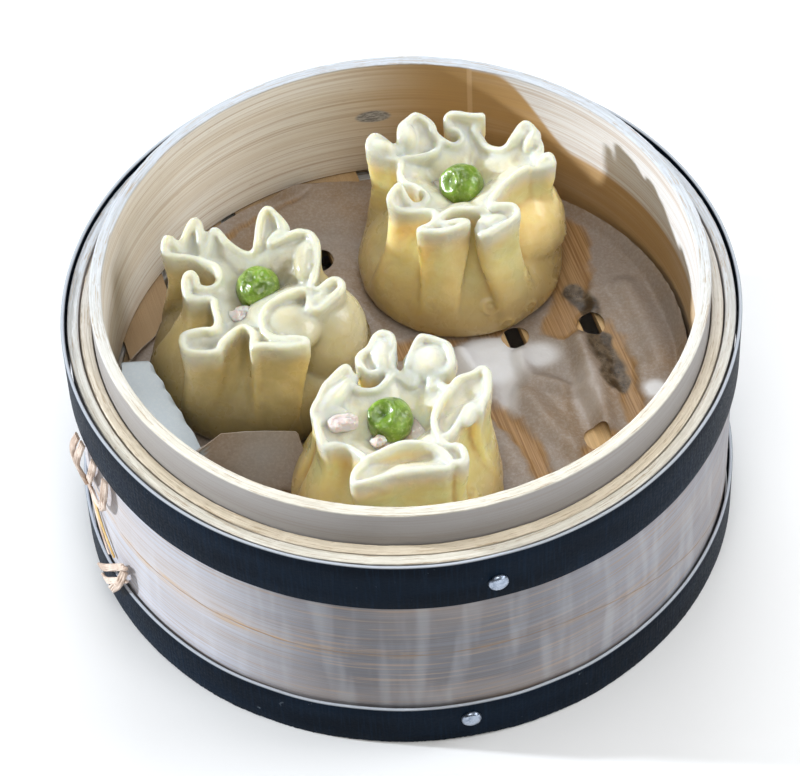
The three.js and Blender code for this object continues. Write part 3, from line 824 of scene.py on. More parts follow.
def ribbon(places, width, thickness, twist):
    """Points and faces of a flat strand through its places on the wall, twisting on its way."""
    sides = 10
    line = open_spline(places, 12)
    turn = np.radians(line[:, 0])
    reach = TIE_WALL + line[:, 2]
    path = np.stack([reach * np.cos(turn), reach * np.sin(turn), line[:, 1]], axis=-1)
    tangent = unit(np.gradient(path, axis=0))
    out = np.stack([np.cos(turn), np.sin(turn), 0 * turn], axis=-1)
    out = unit(out - (out * tangent).sum(axis=1)[:, None] * tangent)
    side = np.cross(tangent, out)
    rows = []
    for index, spot in enumerate(path):
        share = index / (len(path) - 1)
        roll = twist * share
        taper = 0.55 + 0.45 * math.sin(math.pi * min(max(share, 0.08), 0.92)) ** 0.3
        for corner in range(sides):
            angle = 2 * math.pi * corner / sides
            flat = width / 2 * taper * math.cos(angle)
            deep = thickness / 2 * math.sin(angle) * (1 + 0.25 * math.cos(3 * angle))
            a = flat * math.cos(roll) - deep * math.sin(roll)
            b = flat * math.sin(roll) + deep * math.cos(roll)
            rows.append(spot + a * side[index] + b * out[index])
    count = len(path)
    points = rows + [path[0], path[-1]]
    faces = grid_faces(count, sides)
    faces += fan_faces(range(sides), count * sides, flip=True)
    faces += fan_faces(range((count - 1) * sides, count * sides), count * sides + 1)
    return points, faces


class STEAMER_OT_tie(bpy.types.Operator):
    """Make the rattan that stitches the wall's overlapping ends"""

    bl_idname = "steamer.tie"
    bl_label = "Rattan tie"

    def execute(self, context):
        pale = rattan("rattan_pale", (0.75, 0.62, 0.52), (0.5, 0.36, 0.27))
        gold = rattan("rattan_gold", (0.72, 0.5, 0.2), (0.55, 0.34, 0.1))
        for node, strands in TIE_STRANDS.items():
            points, faces = [], []
            strip = "strip" in node
            for number, places in enumerate(strands):
                copies = 1 if strip else 3
                for copy in range(copies):
                    shift = (copy - (copies - 1) / 2) * 0.75
                    moved = [(a + shift, z + 0.5 * shift, lift) for a, z, lift in places]
                    size = (1.5, 0.5, 0.0) if strip else (1.0, 0.7, 2.0 + number + copy)
                    spots, squares = ribbon(moved, *size)
                    faces += [tuple(corner + len(points) for corner in face) for face in squares]
                    points += list(spots)
            material = gold if node == "tie_strip_1" else pale
            piece = make_piece(node + "_rattan", np.array(points), faces, material, 60)
            dress(piece, node)
        return {"FINISHED"}


# ---------------- dumplings

# The folds of each wrapper's lip, counter-clockwise from the front, from the middle of its base.
LIPS = {
    "back": {
        "front left panel": (
            (-9.5, -16, 29), (-7, -17, 29.5), (-3.5, -17, 29.5), (0.5, -16, 30), (1.5, -15, 30),
        ),
        "fold behind it": (
            (-0.5, -14, 29.5), (-4, -14.5, 29), (-5, -13.5, 29), (-2.5, -11, 29.5), (1, -10.5, 29.5),
            (5, -11, 29.5),
        ),
        "front right panel": (
            (6, -12, 28.5), (4.5, -14, 28.5), (4, -16.5, 28.5), (5, -18, 29), (8, -17, 29.5),
            (12.5, -13.5, 29.5), (12.5, -11.5, 30), (11, -10.5, 30), (7, -9, 29),
        ),
        "right fin": (
            (8, -6.5, 29.5), (10.5, -4, 30.5), (13.5, -2, 31.5), (16, -0.5, 31.5), (17, -0.5, 30.5),
            (20, 0, 31), (21.5, 1, 31.5), (20.5, 3, 31.5), (18.5, 2.5, 30.5),
        ),
        "right ear": (
            (17.5, 4.5, 30), (19, 5.5, 31), (17.5, 10.5, 32.5), (16, 12, 33), (14.5, 11, 32.5),
            (13, 8.5, 32), (10.5, 7.5, 29.5),
        ),
        "square fold at the back": (
            (7, 10, 28), (5.5, 12.5, 28.5), (4.5, 13.5, 29.5), (6, 15.5, 31.5), (7, 15.5, 32.5),
            (4.5, 15.5, 32.5), (-1, 16.5, 32.5), (-1.5, 14.5, 30.5), (0.5, 13.5, 30), (1.5, 12, 29),
        ),
        "round ear at the back left": (
            (-0.5, 10.5, 28.5), (-4.5, 12, 30.5), (-5.5, 14.5, 31.5), (-8.5, 16.5, 32.5),
            (-10, 15.5, 32.5), (-12, 13.5, 32), (-12.5, 10.5, 31.5), (-13, 8.5, 29.5),
        ),
        "left ear": (
            (-18, 11, 32), (-19.5, 8, 31), (-15.5, 6, 30), (-13, 5.5, 29.5), (-12.5, 4, 29),
            (-13, 2.5, 28.5),
        ),
        "curl at the left": (
            (-12, -0.5, 28.5), (-9.5, -2, 28.5), (-7.5, -4.5, 28.5), (-7.5, -6.5, 28.5), (-9.5, -7.5, 28),
            (-11.5, -6.5, 28.5), (-13, -3.5, 30.5), (-14, -4, 30.5), (-15.5, -7, 30.5), (-14.5, -8.5, 29),
            (-12, -9, 28),
        ),
        "valley at the front left": ((-6, -10, 28.5), (-5.5, -12.5, 29), (-6.5, -14.5, 29)),
    },
    "left": {
        "front panel": (
            (-0.5, -20.5, 28), (0.5, -19.5, 28.5), (7, -20, 28.5), (11, -19.5, 28.5), (10, -18, 28.5),
        ),
        "valley on its right": (
            (5, -17.5, 28), (2.5, -16, 28), (1.5, -13.5, 28), (1.5, -10.5, 28.5), (3, -8, 29),
        ),
        "front right fold": (
            (8.5, -5.5, 30), (11.5, -5.5, 30), (12, -7.5, 29), (12, -9.5, 29), (14, -10, 29),
            (18.5, -6, 30), (19, -4, 30), (18, -2.5, 30), (16.5, -3, 30), (14, -5, 29.5),
            (12.5, -4, 29.5),
        ),
        "right panel": (
            (13, -1.5, 30), (14, 5, 31.5), (13, 8.5, 32), (11.5, 10, 32), (9, 10, 32), (3.5, 8.5, 30.5),
        ),
        "ear at the back right": (
            (4.5, 10.5, 31), (7, 11.5, 31.5), (6, 14, 32.5), (3.5, 16.5, 33.5), (2, 15.5, 33),
            (1, 12.5, 32), (0.5, 9, 30.5),
        ),
        "back panel": ((-0.5, 8, 28.5), (-2.5, 8.5, 28), (-6, 10.5, 29.5), (-9, 13.5, 30.5)),
        "back left fold": (
            (-11, 8.5, 28), (-12, 9.5, 28.5), (-12, 13, 30.5), (-12.5, 15.5, 31), (-13.5, 15.5, 31.5),
            (-15.5, 12.5, 30), (-16.5, 10.5, 28.5),
        ),
        "back left ear": (
            (-17.5, 10.5, 30), (-18.5, 11.5, 30.5), (-19.5, 11, 31), (-19.5, 8, 29.5), (-14.5, 7.5, 28.5),
            (-11.5, 6.5, 28),
        ),
        "curl at the left": (
            (-8.5, 4.5, 28), (-8, 1, 28), (-9.5, -1.5, 28), (-13, -1.5, 28.5), (-13, 0, 29.5),
            (-14, 1.5, 30), (-15.5, 0, 29.5), (-14.5, -4, 28), (-9.5, -4, 27),
        ),
        "front left ear": (
            (-9, -6.5, 27), (-8.5, -10, 26.5), (-9, -12.5, 26.5), (-12, -12.5, 26.5), (-16, -14, 26.5),
            (-15.5, -17.5, 26), (-13, -18.5, 26), (-8.5, -18.5, 26), (-7.5, -16.5, 26.5),
        ),
        "valley at the front left": ((-4, -13, 27), (-2, -13, 27.5), (-0.5, -15.5, 28)),
    },
    "front": {
        "front panel": (
            (-9, -19.5, 28), (-7, -20, 28.5), (-3.5, -19, 28.5), (0.5, -18, 29), (5.5, -17.5, 29),
            (10.5, -17.5, 29),
        ),
        "front right curl": (
            (12, -16, 29), (13.5, -16.5, 29), (14.5, -15.5, 29), (14.5, -13.5, 29.5), (13.5, -12, 29.5),
            (11.5, -11.5, 29), (9.5, -9, 28.5),
        ),
        "right ear": (
            (12, -8, 29), (15.5, -3, 30.5), (17, -2, 30.5), (18, -4, 30.5), (18.5, -2.5, 31), (20, 1, 31),
            (20.5, 5, 31.5), (19.5, 7.5, 31.5), (17.5, 6.5, 31), (14, 5.5, 30.5), (12, 3.5, 29.5),
        ),
        "back right fold": (
            (10, 6, 28.5), (8, 6, 28), (9, 8, 29), (12, 8.5, 30.5), (13, 10.5, 31.5), (12, 14.5, 32),
            (8, 16.5, 32), (6, 16, 32), (3.5, 11, 30), (3.5, 9.5, 28.5), (5.5, 8, 28), (3.5, 7.5, 27.5),
        ),
        "back fold": (
            (-0.5, 11.5, 29.5), (0.5, 14.5, 31), (0, 18, 31.5), (-2.5, 18.5, 31.5), (-4.5, 15.5, 30.5),
            (-7, 13, 30), (-5, 9.5, 29.5), (-0.5, 10, 29), (-1, 7.5, 29),
        ),
        "left panel": (
            (-3.5, 5.5, 28.5), (-7, 5.5, 28.5), (-9, 7.5, 29), (-9.5, 10.5, 30.5), (-13.5, 6.5, 30.5),
            (-15.5, 2.5, 30), (-17, -0.5, 29), (-16, -1.5, 28.5), (-10.5, 0.5, 28),
        ),
        "left ear": (
            (-13, -2, 27.5), (-16, -2, 28.5), (-16, -5.5, 28), (-14.5, -8.5, 27), (-13, -8, 27),
            (-10, -8.5, 26.5),
        ),
        "valley at the front left": ((-7, -11.5, 27), (-6.5, -13.5, 27.5), (-8.5, -16.5, 28)),
    },
}  # fmt: skip
# Each wrapper: the middle and radius of its base, how much painted light its dough gets, from 0 on
# the shaded wrapper to 1 on the most lit one, and its usual height. A web is a short run of lip that
# closes a fold on its inner side. A lobe is a place where layers of dough have swollen into one: x, y,
# height, its three radii and the way its long side points, in degrees. Bits of pork that show above
# the filling are given like lobes. Blisters are the rings that burst bubbles left at its lower right.
# All places are from the middle of its base.
DUMPLINGS = {
    "back": {
        "base": (14.2, 31.9),
        "radius": 23.2,
        "cream": 0.7,
        "height": 30.5,
        "webs": (
            ((-4.5, 12, 30.5), (-4, 9.5, 29.5), (-6, 7.5, 29), (-9.5, 6.5, 29), (-12.5, 6.5, 29)),
        ),
        "lobes": (
            (-16.8, 8.4, 29.5, 3.6, 2.4, 3.6, 160),
            (14.6, 9.4, 30.6, 2.8, 1.5, 2.6, 40),
            (17.3, 8.2, 30.6, 3.2, 1.6, 2.8, 60),
            (19.4, 1.5, 30.2, 2.2, 1.4, 2.4, 20),
            (-10.9, 12.2, 30, 3.4, 2.0, 3.2, 100),
            (7.2, -14.2, 27.8, 3.4, 2.2, 2.4, 25),
            (12.5, 2.5, 11.0, 12.2, 13.0, 12.0, 0),
        ),
        "bits": (),
        "blisters": 11,
    },
    "left": {
        "base": (-31.8, 4.0),
        "radius": 25.0,
        "cream": 0.0,
        "height": 30.0,
        "webs": (),
        "lobes": (
            (11.2, 4.0, 29.4, 5.6, 2.4, 2.8, 82),
            (5.6, 13.6, 31.0, 3.0, 1.1, 1.6, 115),
            (14.3, -7.0, 28.2, 2.6, 1.6, 2.2, 38),
            (6.9, -11.2, 24.2, 7.4, 6.6, 5.0, 0),
            (14.8, -5.0, 15.5, 9.4, 10.0, 12.2, 0),
        ),
        "bits": ((-3.4, -6.8, 24.8, 2.6, 1.8, 1.1, 30),),
        "blisters": 2,
    },
    "front": {
        "base": (-2.7, -35.0),
        "radius": 22.7,
        "cream": 1.0,
        "height": 30.0,
        "webs": (
            ((-6.5, -13.5, 28), (-3, -12, 28.5), (1, -10.5, 29), (5.5, -10.5, 29), (9, -12, 29),
             (11.5, -15, 29)),
            ((9.5, -9, 28.5), (8.5, -5, 29.5), (9.5, -1, 30), (12, 3, 30.5)),
        ),
        "lobes": (
            (8.3, 12.2, 27.6, 6.0, 4.6, 4.6, -10),
            (-1.8, 14.6, 28.2, 5.4, 3.2, 4.0, 100),
            (-11.8, 4.4, 28.0, 7.2, 2.0, 3.0, 52),
            (16.3, -4.2, 29.6, 3.0, 1.2, 2.0, 60),
        ),
        "bits": (
            (-10.8, -2.9, 27.9, 3.3, 1.9, 1.6, 8), (-3.6, -6.4, 25.6, 1.5, 1.1, 1.0, 30),
        ),
        "blisters": 3,
    },
}  # fmt: skip
BODY_SHARES = (0, 0.05, 0.14, 0.28, 0.45, 0.7, 1)
BODY_REACH = (0.95, 0.99, 1, 0.985, 0.94, 0.88, 0.84)
WAIST = (0.62, 0.2, 0.03)  # share of the height, spread and depth of the pinch under the frill
POINT_SPACING = 0.55  # between the points of a lip, in millimetres
INNER_SPACING = 0.9  # between the points of the inner folds
INNER_DROP = 0.5  # how far the inner folds start below the lip
INNER_SLOPE = 0.35  # how much they fall for each millimetre away from it
INNER_BEND = 0.11  # and how quickly they steepen, once they are so far away
INNER_BEND_START = 2.2
INNER_REACH = 8.5  # how far from the lip they end
INNER_THICKNESS = 2.4
LOBE_RIM = 15  # lobes higher than this are part of the frill, and as white as it
SKIN_ROUNDS = 5  # of smoothing that gives back KEPT_FORM of what it takes
KEPT_FORM = 0.52
SOFT_ROUNDS = 2  # and of smoothing that gives nothing back
PLAIN_ROUNDS = 40  # leave only the broad form that the folds stand out from
BELLY = 12  # height from which the skin swells outwards
BLISTER_TURNS = (-75, 5)  # in degrees from +X
BLISTER_HEIGHTS = (2.5, 13)
BLISTER_SIZES = (0.9, 1.7)
WEB_SECTION = ((9, 0.7), (2, 0.8), (0.5, 1), (-0.4, 0.85), (-0.8, 0.5), (-1, 0.1))  # drop, width


def frill(share):
    """How much of the lip's form the wall has, at a share of its height."""
    return smoothstep(share, 0.02, 0.88)


def lip_line(name):
    """A wrapper's whole lip, as evenly spaced points on a smooth closed line."""
    spots = [spot for fold in LIPS[name].values() for spot in fold]
    return even_line(closed_spline(np.array(spots, float), 8), POINT_SPACING, True)


def even_line(line, spacing, closed):
    """The line's points again, evenly spaced."""
    if closed:
        line = np.vstack([line, line[:1]])
    length = np.concatenate([[0], np.cumsum(np.linalg.norm(np.diff(line[:, :2], axis=0), axis=1))])
    count = int(length[-1] / spacing)
    marks = np.linspace(0, length[-1], count, endpoint=not closed)
    return np.column_stack([np.interp(marks, length, line[:, axis]) for axis in range(3)])


def base_angles(lip):
    """Where each point of the lip's sheet starts on the round base, in radians."""
    count = len(lip)
    turn = np.unwrap(np.arctan2(lip[:, 1], lip[:, 0]))
    steady = 2 * math.pi * np.arange(count) / count
    loose = turn - steady
    spread = 5.0 / POINT_SPACING
    reach = np.minimum(np.arange(count), count - np.arange(count))
    weight = np.exp(-0.5 * (reach / spread) ** 2)
    smooth = np.fft.ifft(np.fft.fft(loose) * np.fft.fft(weight / weight.sum())).real + steady
    steps = np.diff(np.append(smooth, smooth[0] + 2 * math.pi))
    steps = np.maximum(steps, 0.25 * 2 * math.pi / count)
    steps *= 2 * math.pi / steps.sum()
    angles = np.concatenate([[0], np.cumsum(steps)[:-1]])
    return angles + (smooth - angles).mean()


def wall_section(design, lip, angles, share):
    """Middle of the wrapper's wall at a share of its height."""
    body = design["radius"] * np.interp(share, BODY_SHARES, BODY_REACH)
    body = body * np.column_stack([np.cos(angles), np.sin(angles)])
    middle, spread, depth = WAIST
    pinch = 1 - depth * bell(share - middle, spread)
    flat = lerp(body, lip[:, :2] * pinch, frill(share)) + design["base"]
    return np.column_stack([flat, FOOD_BASE + share * lip[:, 2]])


def outward(section):
    """Unit vectors out of a section, level with it."""
    along = np.roll(section, -1, axis=0) - np.roll(section, 1, axis=0)
    return unit(np.column_stack([along[:, 1], -along[:, 0], 0 * along[:, 0]]))


class Heap:
    """Closed shapes put together in one mesh, before they are fused."""

    def __init__(self):
        self.points = np.zeros((0, 3))
        self.faces = []

    def add(self, points, faces):
        first = len(self.points)
        self.points = np.vstack([self.points, points])
        self.faces += [tuple(corner + first for corner in face) for face in faces]


def add_cup(heap, design, lip, settings):
    """The sheet of dough: out from its middle, up the outside, over the lip and down the inside."""
    wall = settings.wrapper_thickness / MM
    swollen = settings.lip_thickness / MM
    angles = base_angles(lip)
    count = len(lip)
    uneven = 1 + 0.42 * rough(lip, 5.5, 8)[:, None]
    shares = np.linspace(0, 1, 44)
    outer, inner = [], []
    for share in shares:
        section = wall_section(design, lip, angles, share)
        half = lerp(wall, swollen, smoothstep(share, 0.75, 1)) / 2 * uneven
        out = outward(section) * half
        outer.append(section + out * (0.7 if share == 0 else 1))
        inner.append(section - out)
    edge = wall_section(design, lip, angles, 1)
    out = outward(edge) * uneven
    middle = np.array([*design["base"], FOOD_BASE])
    rows = [middle + (outer[0] - middle) * [reach, reach, 1] for reach in (0.3, 0.6, 0.85)]
    rows += outer
    for turn in (25, 50, 75, 90, 105, 130, 155):
        angle = math.radians(turn)
        rise = np.array([0, 0, math.sin(angle) * swollen / 2])
        rows.append(edge + out * math.cos(angle) * swollen / 2 + rise)
    floor = FOOD_BASE + wall
    rows += [row for row in inner[::-1] if row[0, 2] > floor + 0.4]
    for reach in (0.8, 0.4):
        spots = lerp(middle[:2], inner[0][:, :2], reach)
        rows.append(np.column_stack([spots, np.full(count, floor)]))
    last = len(rows) * count
    points = np.vstack([*rows, middle[None, :], [[*design["base"], floor]]])
    faces = grid_faces(len(rows), count)
    faces += fan_faces(range(count), last, flip=True)
    faces += fan_faces(range(last - count, last), last + 1)
    heap.add(points, faces)


def inside_lip(lip, spots):
    """Which spots lie inside the closed lip, seen from above."""
    a, b = lip[:, :2], np.roll(lip[:, :2], -1, axis=0)
    x, y = spots[:, 0][:, None], spots[:, 1][:, None]
    crosses = (a[:, 1] > y) != (b[:, 1] > y)
    where = a[:, 0] + (y - a[:, 1]) * (b[:, 0] - a[:, 0]) / (b[:, 1] - a[:, 1] + 1e-9)
    return (crosses & (x < where)).sum(axis=1) % 2 == 1


def add_bowl(heap, design, lip):
    """The inner folds of the dough: they fill the heads of the frill and slope down to the pork."""
    span = np.arange(-24, 24, INNER_SPACING)
    grid = np.stack(np.meshgrid(span, span), axis=-1).reshape(-1, 2)
    grid = grid[inside_lip(lip, grid)]
    near = nearest_distance(on_floor(grid), on_floor(lip))
    grid = grid[near > 0.5 * INNER_SPACING]
    edge = lip[::2, :2]
    loop = [(i, (i + 1) % len(edge)) for i in range(len(edge))]
    spots = [Vector(spot) for spot in np.vstack([edge, grid])]
    flat, _, triangles, *_ = delaunay_2d_cdt(spots, loop, [], 0, 1e-5)
    flat = np.array([tuple(spot) for spot in flat])
    tree = tree_of(on_floor(lip))
    found = [tree.find(spot) for spot in on_floor(flat)]
    depth = np.array([item[2] for item in found])
    level = relax_levels(flat, np.array([lip[item[1], 2] for item in found]))
    bend = INNER_BEND * np.maximum(depth - INNER_BEND_START, 0) ** 2
    top = FOOD_BASE + level - INNER_DROP - INNER_SLOPE * depth - bend
    top += 0.45 * rough(on_floor(flat), 2.6, 9) * smoothstep(depth, 0.5, 2)
    middles = np.array([flat[list(triangle)].mean(axis=0) for triangle in triangles])
    deepest = depth[np.array([list(triangle) for triangle in triangles])].max(axis=1)
    kept = inside_lip(lip, middles) & (deepest < INNER_REACH)
    triangles = [tuple(triangle) for triangle, keep in zip(triangles, kept) if keep]
    count = len(flat)
    flat = flat + design["base"]
    below = np.column_stack([flat, top - INNER_THICKNESS])
    points = np.vstack([np.column_stack([flat, top]), below])
    faces = triangles + [tuple(i + count for i in face[::-1]) for face in triangles]
    faces += border_faces(triangles, count)
    heap.add(points, faces)


def relax_levels(flat, level):
    """Blends the lip's heights over a few millimetres."""
    spots = on_floor(flat)
    tree = tree_of(spots)
    near = [[index for _, index, _ in tree.find_range(spot, 2.0)] for spot in spots]
    return np.array([np.mean([level[index] for index in found]) for found in near])


def border_faces(triangles, count):
    """Walls between a sheet's upper triangles and the same ones, count points further on."""
    used = set()
    for a, b, c in triangles:
        used.update(((a, b), (b, c), (c, a)))
    return [(b, a, a + count, b + count) for a, b in used if (b, a) not in used]


def add_web(heap, design, places, settings):
    """A run of lip with the sheet under it."""
    line = even_line(open_spline(places, 8), POINT_SPACING, False)
    along = np.gradient(line, axis=0)
    out = unit(np.column_stack([along[:, 1], -along[:, 0], 0 * along[:, 0]]))
    half = settings.lip_thickness / MM / 2
    line = line + [*design["base"], FOOD_BASE]
    sides = []
    for drop, share in WEB_SECTION:
        level = line - [0, 0, drop]
        sides.append(np.vstack([level + out * half * share, (level - out * half * share)[::-1]]))
    count = len(line)
    ring = 2 * count
    faces = grid_faces(len(sides), ring)
    top = (len(sides) - 1) * ring
    for i in range(count - 1):
        faces.append((ring - 1 - i, ring - 2 - i, i + 1, i))
        faces.append((top + i, top + i + 1, top + ring - 2 - i, top + ring - 1 - i))
    heap.add(np.vstack(sides), faces)


def ball(rings, sides):
    """Points and faces of a ball of radius 1."""
    polar = np.pi * np.arange(1, rings)[:, None] / rings
    turn = 2 * np.pi * np.arange(sides)[None, :] / sides
    grid = [np.sin(polar) * np.cos(turn), np.sin(polar) * np.sin(turn), -np.cos(polar) + 0 * turn]
    points = np.vstack([np.stack(grid, axis=-1).reshape(-1, 3), [[0, 0, -1], [0, 0, 1]]])
    count = (rings - 1) * sides
    faces = grid_faces(rings - 1, sides)
    faces += fan_faces(range(sides), count, flip=True)
    faces += fan_faces(range(count - sides, count), count + 1)
    return points, faces


def add_lobe(heap, design, lobe):
    """A rounded lump of dough, as its three radii and its turn say."""
    points, faces = ball(16, 24)
    heap.add(turned(points * lobe[3:6], lobe[6]) + lobe_middle(design, lobe), faces)


def turned(points, degrees):
    """Points turned about the Z axis."""
    cos, sin = math.cos(math.radians(degrees)), math.sin(math.radians(degrees))
    return points @ np.array([[cos, sin, 0], [-sin, cos, 0], [0, 0, 1]])


def lobe_middle(design, lobe):
    """Middle of a lobe or of a bit of pork, in the frame."""
    return np.array([*design["base"], FOOD_BASE]) + lobe[:3]


def near_lobe(points, design, lobe):
    """1 on the skin of a lobe, fading to 0 a little way from it."""
    away = turned(points - lobe_middle(design, lobe), -lobe[6]) / lobe[3:6]
    return 1 - smoothstep(np.linalg.norm(away, axis=1), 1.0, 1.35)


def fuse(name, heap, voxel):
    """The heap as one closed skin: its points in millimetres and its faces."""
    mesh = bpy.data.meshes.new(name)
    mesh.from_pydata((heap.points * MM).tolist(), [], heap.faces)
    piece = bpy.data.objects.new(name, mesh)
    bpy.context.scene.collection.objects.link(piece)
    remesh = piece.modifiers.new("fuse", "REMESH")
    remesh.mode = "VOXEL"
    remesh.voxel_size = voxel * MM
    graph = bpy.context.evaluated_depsgraph_get()
    skin = bpy.data.meshes.new_from_object(piece.evaluated_get(graph))
    points = np.zeros(len(skin.vertices) * 3)
    skin.vertices.foreach_get("co", points)
    faces = [tuple(face.vertices) for face in skin.polygons]
    bpy.data.objects.remove(piece)
    bpy.data.meshes.remove(mesh)
    bpy.data.meshes.remove(skin)
    return points.reshape(-1, 3) / MM, faces


def face_edges(faces):
    """Each edge of the faces once, as its two points."""
    edges = set()
    for face in faces:
        for i, corner in enumerate(face):
            other = face[(i + 1) % len(face)]
            edges.add((min(corner, other), max(corner, other)))
    return np.array(sorted(edges))


def relax(points, edges, rounds, keep=0.0):
    """Evens out the skin; keep gives back part of what each round takes."""
    count = np.bincount(edges.ravel(), minlength=len(points))[:, None]
    for _ in range(rounds):
        for step in (0.5, -keep) if keep else (0.5,):
            around = np.zeros_like(points)
            for axis in range(3):
                around[:, axis] = np.bincount(edges[:, 0], points[edges[:, 1], axis], len(points))
                around[:, axis] += np.bincount(edges[:, 1], points[edges[:, 0], axis], len(points))
            points = points + step * (around / count - points)
    return points


def nearest_distance(points, line):
    """Distance from each point to the nearest point of a line."""
    tree = tree_of(line)
    return np.array([tree.find(point)[2] for point in points])


def make_wrapper(name, settings, material):
    """One frilled wrapper, fused from its sheet, its webs and its lobes."""
    design, lip = DUMPLINGS[name], lip_line(name)
    heap = Heap()
    add_cup(heap, design, lip, settings)
    add_bowl(heap, design, lip)
    for places in design["webs"]:
        add_web(heap, design, places, settings)
    for lobe in design["lobes"]:
        add_lobe(heap, design, lobe)
    points, faces = fuse(f"wrapper_{name}_dough", heap, settings.wrapper_grain / MM)
    edges = face_edges(faces)
    points = relax(points, edges, SKIN_ROUNDS, KEPT_FORM)
    points = relax(points, edges, SOFT_ROUNDS)
    plain = relax(points, edges, PLAIN_ROUNDS)
    centre = np.array([*design["base"], FOOD_BASE + BELLY])
    side = unit((plain - centre) * [1, 1, 0.4])
    crest = ((points - plain) * side).sum(axis=1)
    soft = smoothstep(points[:, 2], FOOD_BASE + 0.5, FOOD_BASE + 4)
    swell = 0.3 * rough(points, 6.0, 3) + 0.12 * rough(points, 2.4, 4)
    swell += blister_swell(points, design)
    points = points + side * (swell * soft)[:, None]
    points[:, 2] = np.maximum(points[:, 2], FOOD_BASE + 0.02)
    values = dough_values(points, faces, crest, lip, design)
    return make_piece(f"wrapper_{name}_dough", points, faces, material, 80, **values)


def dough_values(points, faces, crest, lip, design):
    """What the dough's colour depends on, for each point of the wrapper's skin."""
    normals = skin_normals(points, faces)
    spots = points[:, :2] - design["base"]
    depth = nearest_distance(on_floor(spots), on_floor(lip))
    inner = inside_lip(lip, spots) * smoothstep(depth, 0.2, 1.6) * smoothstep(normals[:, 2], -0.2, 0.3)
    inner = inner * smoothstep(points[:, 2] - FOOD_BASE, 10, 14)
    lips = [lip] + [open_spline(places, 8) for places in design["webs"]]
    line = np.vstack(lips) + [*design["base"], FOOD_BASE]
    high = [lobe for lobe in design["lobes"] if lobe[2] > LOBE_RIM]
    return {
        "below_lip": nearest_distance(points, line),
        "crest": crest,
        "rise": (points[:, 2] - FOOD_BASE) / design["height"],
        "inner": inner,
        "cream": np.full(len(points), design["cream"]),
        "milk": np.max([near_lobe(points, design, lobe) for lobe in high], axis=0),
    }


def blister_swell(points, design):
    """Rise of the rings that burst steam bubbles leave on the lower right of a wrapper."""
    random = np.random.RandomState(design["blisters"])
    spots = points - [*design["base"], FOOD_BASE]
    turns = np.arctan2(spots[:, 1], spots[:, 0])
    reach = np.hypot(spots[:, 0], spots[:, 1])
    swell = np.zeros(len(points))
    for _ in range(design["blisters"]):
        turn = math.radians(random.uniform(*BLISTER_TURNS))
        height = random.uniform(*BLISTER_HEIGHTS)
        size = random.uniform(*BLISTER_SIZES)
        far = np.hypot(reach * (turns - turn), 1.3 * (spots[:, 2] - height))
        swell += 0.4 * bell(far - size, 0.42) + 0.25 * bell(far, 0.3 * size)
    return swell * smoothstep(reach, 0.75 * design["radius"], 0.9 * design["radius"])


def skin_normals(points, faces):
    """Unit normals of a skin of four-sided faces, at its points."""
    corners = np.array([face[:4] for face in faces])
    first, second, third, fourth = (points[corners[:, side]] for side in range(4))
    cross = np.cross(third - first, fourth - second)
    normals = np.zeros_like(points)
    for side in range(4):
        np.add.at(normals, corners[:, side], cross)
    return unit(normals)


# Colours of the dough on the shaded wrapper and on the most lit one, where the settings don't give them:
# painted shade and painted light.
DIM_DEEP = (0.62, 0.51, 0.24)
DIM_FOOT = (0.1, 0.065, 0.02)
DIM_FOLD_SHADE = (0.46, 0.36, 0.14)
DIM_EDGE = (0.62, 0.63, 0.53)
MILKY = ((0.52, 0.48, 0.32), (0.86, 0.84, 0.68))  # swollen lobes
LINING = ((0.42, 0.39, 0.3), (0.86, 0.81, 0.63))  # inner folds
LINING_SHADE = ((0.28, 0.25, 0.18), (0.7, 0.61, 0.41))


